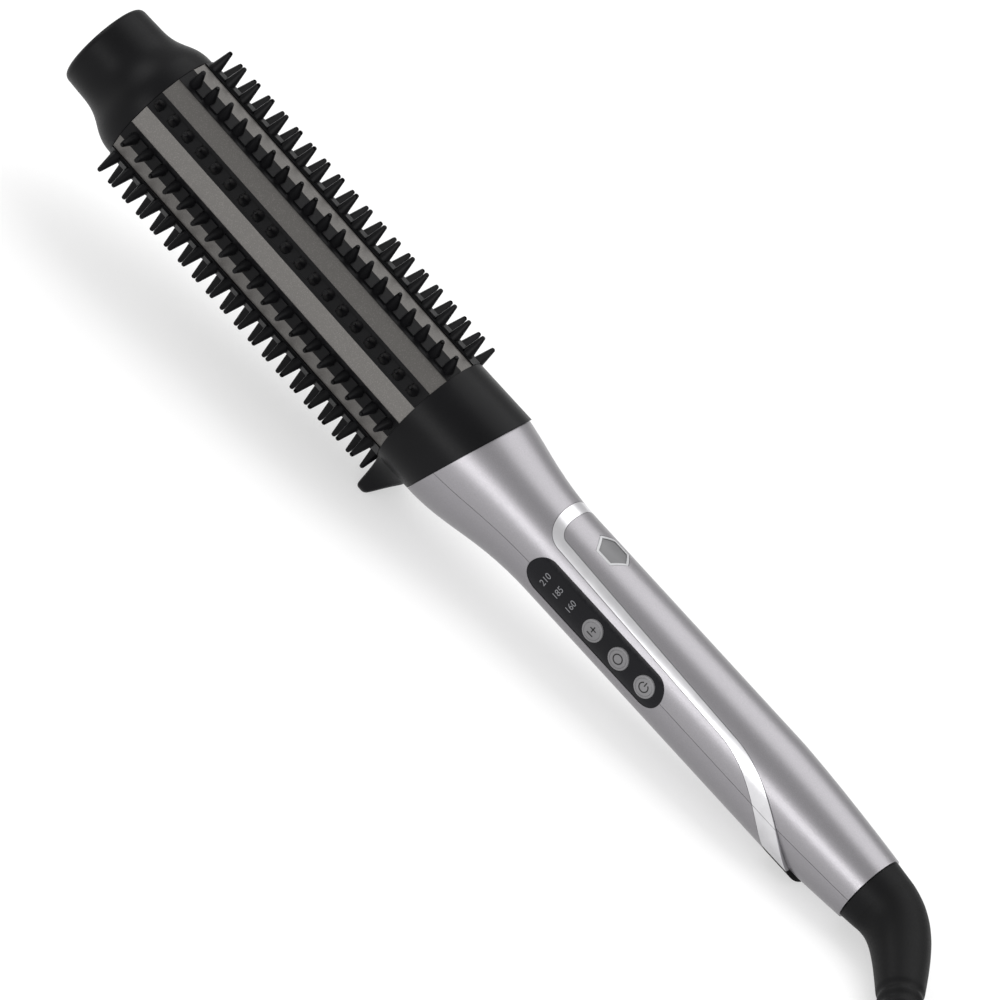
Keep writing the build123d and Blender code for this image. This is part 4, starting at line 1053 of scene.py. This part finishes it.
def lead_route(radius):
    """Control points of the lead: out of the swivel, down, into the coil and on to the plug."""
    table = radius + FLOOR_GAP
    route = [CUP.copy(), HANDLE_POSE @ Vector((CUP_STATION + 0.0075, 0, 0))]
    for along, y, z in (
        (0.0135, -0.0050, 0.0098),
        (0.0235, -0.0184, 0.0076),
        (0.0375, -0.0362, 0.0051),
        (0.0457, -0.0463, table),
        (0.0546, -0.0558, table),
    ):
        route.append(Vector((CUP.x + along, y, z)))
    laid = []
    for turn, (reach, move) in enumerate(COIL_LANES[:-1]):
        following = COIL_LANES[turn + 1][0]
        for step in range(COIL_STEPS):
            swept = 360 * step / COIL_STEPS
            here = reach + (following - reach) * eased((swept - move) / COIL_MOVE)
            lay(laid, on_coil(COIL_START + swept, here, 0), radius)
    # up from the top turn and into the plug's neck
    for swept, reach, height in (
        (0, 0.0325, 0.0165),
        (12, 0.0325, 0.0175),
        (26, 0.0326, 0.0188),
        (41, 0.0329, 0.0204),
        (57, 0.0334, 0.0217),
        (73, 0.034, 0.0230),
        (87, 0.0344, 0.0242),
    ):
        lay(laid, on_coil(COIL_START + swept, reach, height), radius)
    route += laid
    pointing = Vector((cos(PLUG_BEARING), sin(PLUG_BEARING), 0))
    for along in (-0.0125, -0.004, 0.004):
        route.append(COIL_CENTRE + PLUG_NECK + pointing * along)
    return route


def lead_curve(name, route, radius):
    """The lead's smooth line through its route, as a round tube where it has a radius."""
    curve = bpy.data.curves.new(name, "CURVE")
    curve.dimensions = "3D"
    spline = curve.splines.new("NURBS")
    spline.points.add(len(route) - 1)
    for point, at in zip(spline.points, route):
        point.co = (*at, 1)
    spline.order_u = 3
    spline.use_endpoint_u = True
    spline.resolution_u = 6
    curve.bevel_depth = radius
    curve.bevel_resolution = 3
    curve.use_fill_caps = True
    return curve


def line_of(route):
    """Points along the lead's own smooth line, and the length up to each."""
    mesh = plain_mesh(link("line", lead_curve("line", route, 0.0)))
    points = [v.co.copy() for v in mesh.vertices]
    return points, lengths(points)


def lengths(points):
    """Length along a line of points up to each of them."""
    along = [0.0]
    for a, b in zip(points, points[1:]):
        along.append(along[-1] + (b - a).length)
    return along


def at_length(points, along, distance):
    """The point at a length along a line."""
    for i in range(1, len(points)):
        if along[i] >= distance:
            share = (distance - along[i - 1]) / max(along[i] - along[i - 1], 1e-9)
            return points[i - 1].lerp(points[i], share)
    return points[-1]


class BRUSH_OT_lead(bpy.types.Operator):
    """Lay the lead, its boot, its coil and tie, and the plug"""

    bl_idname = "brush.lead"
    bl_label = "Lead and Plug"

    def execute(self, context):
        settings = context.scene.brush_cord
        radius = settings.diameter / 2
        route = lead_route(radius)
        points, along = line_of(route)
        lead = link("mains_lead", lead_curve("mains_lead", route, radius))
        lead.data.materials.append(FINISHES["rubber"])
        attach(lead, "swivel")
        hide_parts("cord", "cord_coil", "plug_lead")
        boot = self.boot(settings, points, along)
        tie = self.tie(points, radius)
        plug = self.plug()
        return {"FINISHED"}

    def boot(self, settings, points, along):
        """A tapered sleeve with flex rings towards its end, bent in one sweep from the swivel to the lead."""
        steps, look, sides = 90, 0.0006, 48
        straight_out, straight_in = 0.012, 0.0295
        rings_from, ring_pitch, ring_depth, end_round = 0.62, 0.076, 0.00045, 0.0004
        end = at_length(points, along, settings.boot_length)
        heading = (at_length(points, along, settings.boot_length + 0.002) - end).normalized()
        controls = (CUP, CUP + AXIS * straight_out, end - heading * straight_in, end)
        sweep = [Vector(p) for p in bezier(controls, 240)]
        run = lengths(sweep)
        stops = []
        for i in range(steps + 1):
            at = run[-1] * i / steps
            ahead, behind = (at_length(sweep, run, max(0.0, at + d)) for d in (look, -look))
            share = i / steps
            wide = settings.boot_start + (settings.boot_end - settings.boot_start) * share
            if share > rings_from:
                wide -= ring_depth * wave((share - rings_from) / ring_pitch)
            stops.append((at_length(sweep, run, at), (ahead - behind).normalized() if i else AXIS, wide))
        centre, tangent, _ = stops[-1]
        stops.append((centre + tangent * end_round, tangent, settings.boot_end - ring_depth - 0.00015))
        loops = []
        for centre, tangent, wide in stops:
            side = Vector((0, 0, 1)).cross(tangent).normalized()
            up = tangent.cross(side).normalized()
            turns = [2 * pi * k / sides for k in range(sides)]
            loops.append([centre + side * wide * cos(t) + up * wide * sin(t) for t in turns])
        mesh = to_mesh(loft(loops), None, 50)
        return place("cord_boot_sleeve", mesh, "swivel", "rubber", ["cord_boot"])

    def tie(self, points, radius):
        """A strap round the coil, drawn tight over the turns it holds."""
        bearing, width, thick, gap, steps = radians(120), 0.009, 0.0009, 0.0001, 24
        across = Vector((-sin(bearing), cos(bearing), 0))
        outward = Vector((cos(bearing), sin(bearing), 0))
        rim = []
        for a, b in zip(points, points[1:]):
            u, v = (a - COIL_CENTRE).dot(across), (b - COIL_CENTRE).dot(across)
            if u * v <= 0 and u != v and (a - COIL_CENTRE).dot(outward) > 0.01:
                at = a.lerp(b, u / (u - v))
                reach = (at - COIL_CENTRE).dot(outward)
                for k in range(steps):
                    angle = 2 * pi * k / steps
                    rim.append((reach + (radius + gap) * cos(angle), at.z + (radius + gap) * sin(angle)))
        hull = hull_of(rim)
        loops = []
        for offset, swell in ((-width / 2, 0.0), (-width / 2, 1.0), (width / 2, 1.0), (width / 2, 0.0)):
            loop = []
            for i, (reach, height) in enumerate(hull):
                before, after = Vector(hull[i - 1]), Vector(hull[(i + 1) % len(hull)])
                run = (after - before).normalized()
                away = Vector((run.y, -run.x)) * thick * swell
                up = Vector((0, 0, max(height + away.y, gap)))
                loop.append(COIL_CENTRE + outward * (reach + away.x) + across * offset + up)
            loops.append(loop)
        mesh = to_mesh(loft(loops, closed=True), None, 40)
        return place("coil_tie_strap", mesh, "swivel", "tie", ["cord_tie"])

    def plug(self):
        """The moulded plug with finger grips, and its pins."""
        pose = Matrix.Translation(COIL_CENTRE + PLUG_NECK) @ Matrix.Rotation(PLUG_BEARING, 4, "Z")
        start, shoulder, end, steps = 0.014, 0.030, 0.044, 56
        grip_depth, grip_pitch, end_round = 0.0004, 0.0031, 0.001
        stations = [start + (shoulder - start) * i / 10 for i in range(11)]
        stations += [shoulder + (end - end_round - shoulder) * i / 24 for i in range(1, 25)]
        loops = []
        for x in (*stations, end - 0.0004, end):
            ease = eased((x - start) / (shoulder - start))
            half_width = 0.008 + 0.008 * ease
            half_height = 0.0052 + 0.0013 * ease
            if shoulder < x < end - end_round:
                half_height -= grip_depth * wave((x - shoulder) / grip_pitch)
            if x > end - 0.0005:
                inset = 0.0002 if x < end else 0.0008
                half_width, half_height = half_width - inset, half_height - inset
            turns = [2 * pi * k / steps for k in range(steps)]
            loops.append([(x, half_width * squared(cos(t)), half_height * squared(sin(t))) for t in turns])
        bm = loft(loops)
        neck = [(0.0, 0.0), (0.0, 0.0035)]
        for i in range(25):
            neck.append((0.0005 + 0.014 * i / 24, 0.0036 + 0.001 * i / 24 - 0.0003 * wave(i / 4)))
        neck.append((0.0145, 0.0))
        add_to(bm, lathe(neck, 32))
        body = to_mesh(bm, pose, 40)
        sleeve, thick, thin, tip = 0.0535, 0.002, 0.00196, 0.063
        pin = [
            (end, 0.0),
            (end, thick),
            (sleeve, thick),
            (sleeve + 0.0001, thin),
            *round_corner((sleeve + 0.0001, thin), (tip, thin), (tip, 0.0), 0.0011, 5),
            (tip, 0.0),
        ]
        both = bmesh.new()
        for side in (-0.0093, 0.0093):
            one = lathe(pin, 40)
            bmesh.ops.translate(one, verts=one.verts, vec=(0, side, 0))
            add_to(both, one)
        pins = to_mesh(both, pose, 30)
        return [
            place("moulded_plug", body, "swivel", "rubber", ["plug_body"]),
            place("plug_contact_pins", pins, "swivel", "pin", ["plug_pins"]),
        ]


def hull_of(points):
    """Convex outline of flat points, counter-clockwise."""
    ordered = sorted(set(points))

    def half(sequence):
        kept = []
        for p in sequence:
            while len(kept) > 1:
                (x0, y0), (x1, y1) = kept[-2], kept[-1]
                if (x1 - x0) * (p[1] - y0) - (y1 - y0) * (p[0] - x0) > 0:
                    break
                kept.pop()
            kept.append(p)
        return kept[:-1]

    return half(ordered) + half(ordered[::-1])


# ---------------------------------------------------------------- inner pieces


INNER_FINISHES = {
    "holder": ("front_holder", "rear_holder", "contact_carrier"),
    "steel": ("tip_screw", "shell_screws", "board_screws"),
    "core": ("heater_core_upper", "heater_core_lower"),
    "heater": ("ptc_heater",),
    "sensor": ("temperature_sensor",),
    "fuse": ("thermal_fuse",),
    "board": ("control_board", "power_board", "status_board"),
    "switch": ("tact_switches", "board_link"),
    "guide": ("light_guide", "light_pipe"),
    "capacitor": ("film_capacitor",),
    "triac": ("power_triac",),
    "wire_red": ("heater_leads",),
    "wire_white": ("sensor_leads",),
    "wire_brown": ("mains_leads",),
    "swivel": ("swivel_socket", "swivel_body"),
    "brass": ("slip_rings", "spring_contacts"),
}


class BRUSH_OT_inner_pieces(bpy.types.Operator):
    """Give the pieces inside the brush their finishes"""

    bl_idname = "brush.inner_pieces"
    bl_label = "Inner Pieces"

    def execute(self, context):
        for finish, nodes in INNER_FINISHES.items():
            for node in nodes:
                data = NODES[node].data
                data.materials.clear()
                data.materials.append(FINISHES[finish])
        return {"FINISHED"}


# ---------------------------------------------------------------- stage


class BRUSH_OT_stage(bpy.types.Operator):
    """Set the floor, the lights and the camera"""

    bl_idname = "brush.stage"
    bl_label = "Stage"

    def execute(self, context):
        settings = context.scene.brush_stage
        bm = bmesh.new()
        bmesh.ops.create_grid(bm, x_segments=8, y_segments=8, size=settings.floor / 2)
        mesh = to_mesh(bm)
        mesh.materials.append(FINISHES["floor"])
        floor = link("studio_floor", mesh)
        self.lights(context)
        self.camera(context, settings)
        return {"FINISHED"}

    def lights(self, context):
        world = bpy.data.worlds.new("Studio air")
        world.use_nodes = True
        air = world.node_tree.nodes["Background"].inputs
        air["Color"].default_value = (1, 1, 1, 1)
        air["Strength"].default_value = 0.6
        context.scene.world = world
        for name, position, width, height, watts in (
            ("Overhead softbox", (0.1, 0.9, 1.8), 3.2, 1.9, 38),
            ("Front softbox", (0.3, -2.5, 0.95), 3.2, 1.0, 46),
            ("Tip softbox", (-2.6, -0.2, 1.3), 1.2, 1.2, 20),
        ):
            light = bpy.data.lights.new(name, "AREA")
            light.shape = "RECTANGLE"
            light.size = width
            light.size_y = height
            light.energy = watts
            lamp = link(name, light)
            lamp.location = position
            lamp.rotation_euler = (-Vector(position)).to_track_quat("-Z", "Y").to_euler()
        context.scene.view_settings.view_transform = "Standard"

    def camera(self, context, settings):
        """The brush seen from its front side, raised and rolled so that it lies corner to corner."""
        azimuth, elevation, roll = radians(16.388), radians(33.393), radians(33.792)
        aim = (0.016342, 0.011666)
        back = Vector((cos(elevation) * sin(azimuth), -cos(elevation) * cos(azimuth), sin(elevation)))
        right = Vector((cos(azimuth), sin(azimuth), 0))
        up = back.cross(right)
        across = right * cos(roll) + up * sin(roll)
        rise = up * cos(roll) - right * sin(roll)
        data = bpy.data.cameras.new("Camera")
        data.lens = settings.lens
        data.sensor_width = 36
        data.clip_end = 100
        camera = link("Camera", data)
        stand = back * settings.distance + across * aim[0] + rise * aim[1]
        camera.matrix_world = Matrix.Translation(stand) @ Matrix((across, rise, back)).transposed().to_4x4()
        context.scene.camera = camera


# ---------------------------------------------------------------- sidebar and registration


OPERATORS = (
    BRUSH_OT_lead,
    BRUSH_OT_barrel,
    BRUSH_OT_cool_tip,
    BRUSH_OT_bristle_strips,
    BRUSH_OT_handle,
    BRUSH_OT_buttons,
    BRUSH_OT_figures,
    BRUSH_OT_status_lens,
    BRUSH_OT_inner_pieces,
    BRUSH_OT_stage,
)


class BRUSH_PT_sidebar(bpy.types.Panel):
    """Lists the sizes and the steps of the brush"""

    bl_label = "Heated Round Brush"
    bl_space_type = "VIEW_3D"
    bl_region_type = "UI"
    bl_category = "Brush"

    def draw(self, context):
        for group in PROPERTY_GROUPS:
            box = self.layout.box()
            settings = getattr(context.scene, group)
            for name in settings.bl_rna.properties.keys():
                if name not in {"rna_type", "name"}:
                    box.prop(settings, name)
        for operator in OPERATORS:
            self.layout.operator(operator.bl_idname)


PROPERTY_GROUPS = {
    "brush_bristles": BristleSizes,
    "brush_shells": ShellColours,
    "brush_controls": ControlSizes,
    "brush_cord": CordSizes,
    "brush_stage": StageSizes,
}


def register():
    for name, group in PROPERTY_GROUPS.items():
        bpy.utils.register_class(group)
        setattr(bpy.types.Scene, name, PointerProperty(type=group))
    for operator in OPERATORS:
        bpy.utils.register_class(operator)
    bpy.utils.register_class(BRUSH_PT_sidebar)


def unregister():
    bpy.utils.unregister_class(BRUSH_PT_sidebar)
    for operator in reversed(OPERATORS):
        bpy.utils.unregister_class(operator)
    for name, group in reversed(PROPERTY_GROUPS.items()):
        delattr(bpy.types.Scene, name)
        bpy.utils.unregister_class(group)


def main():
    register()
    make_finishes(bpy.context.scene)
    for operator in OPERATORS:
        group, step = operator.bl_idname.split(".")
        getattr(getattr(bpy.ops, group), step)()


if __name__ == "__main__":
    main()
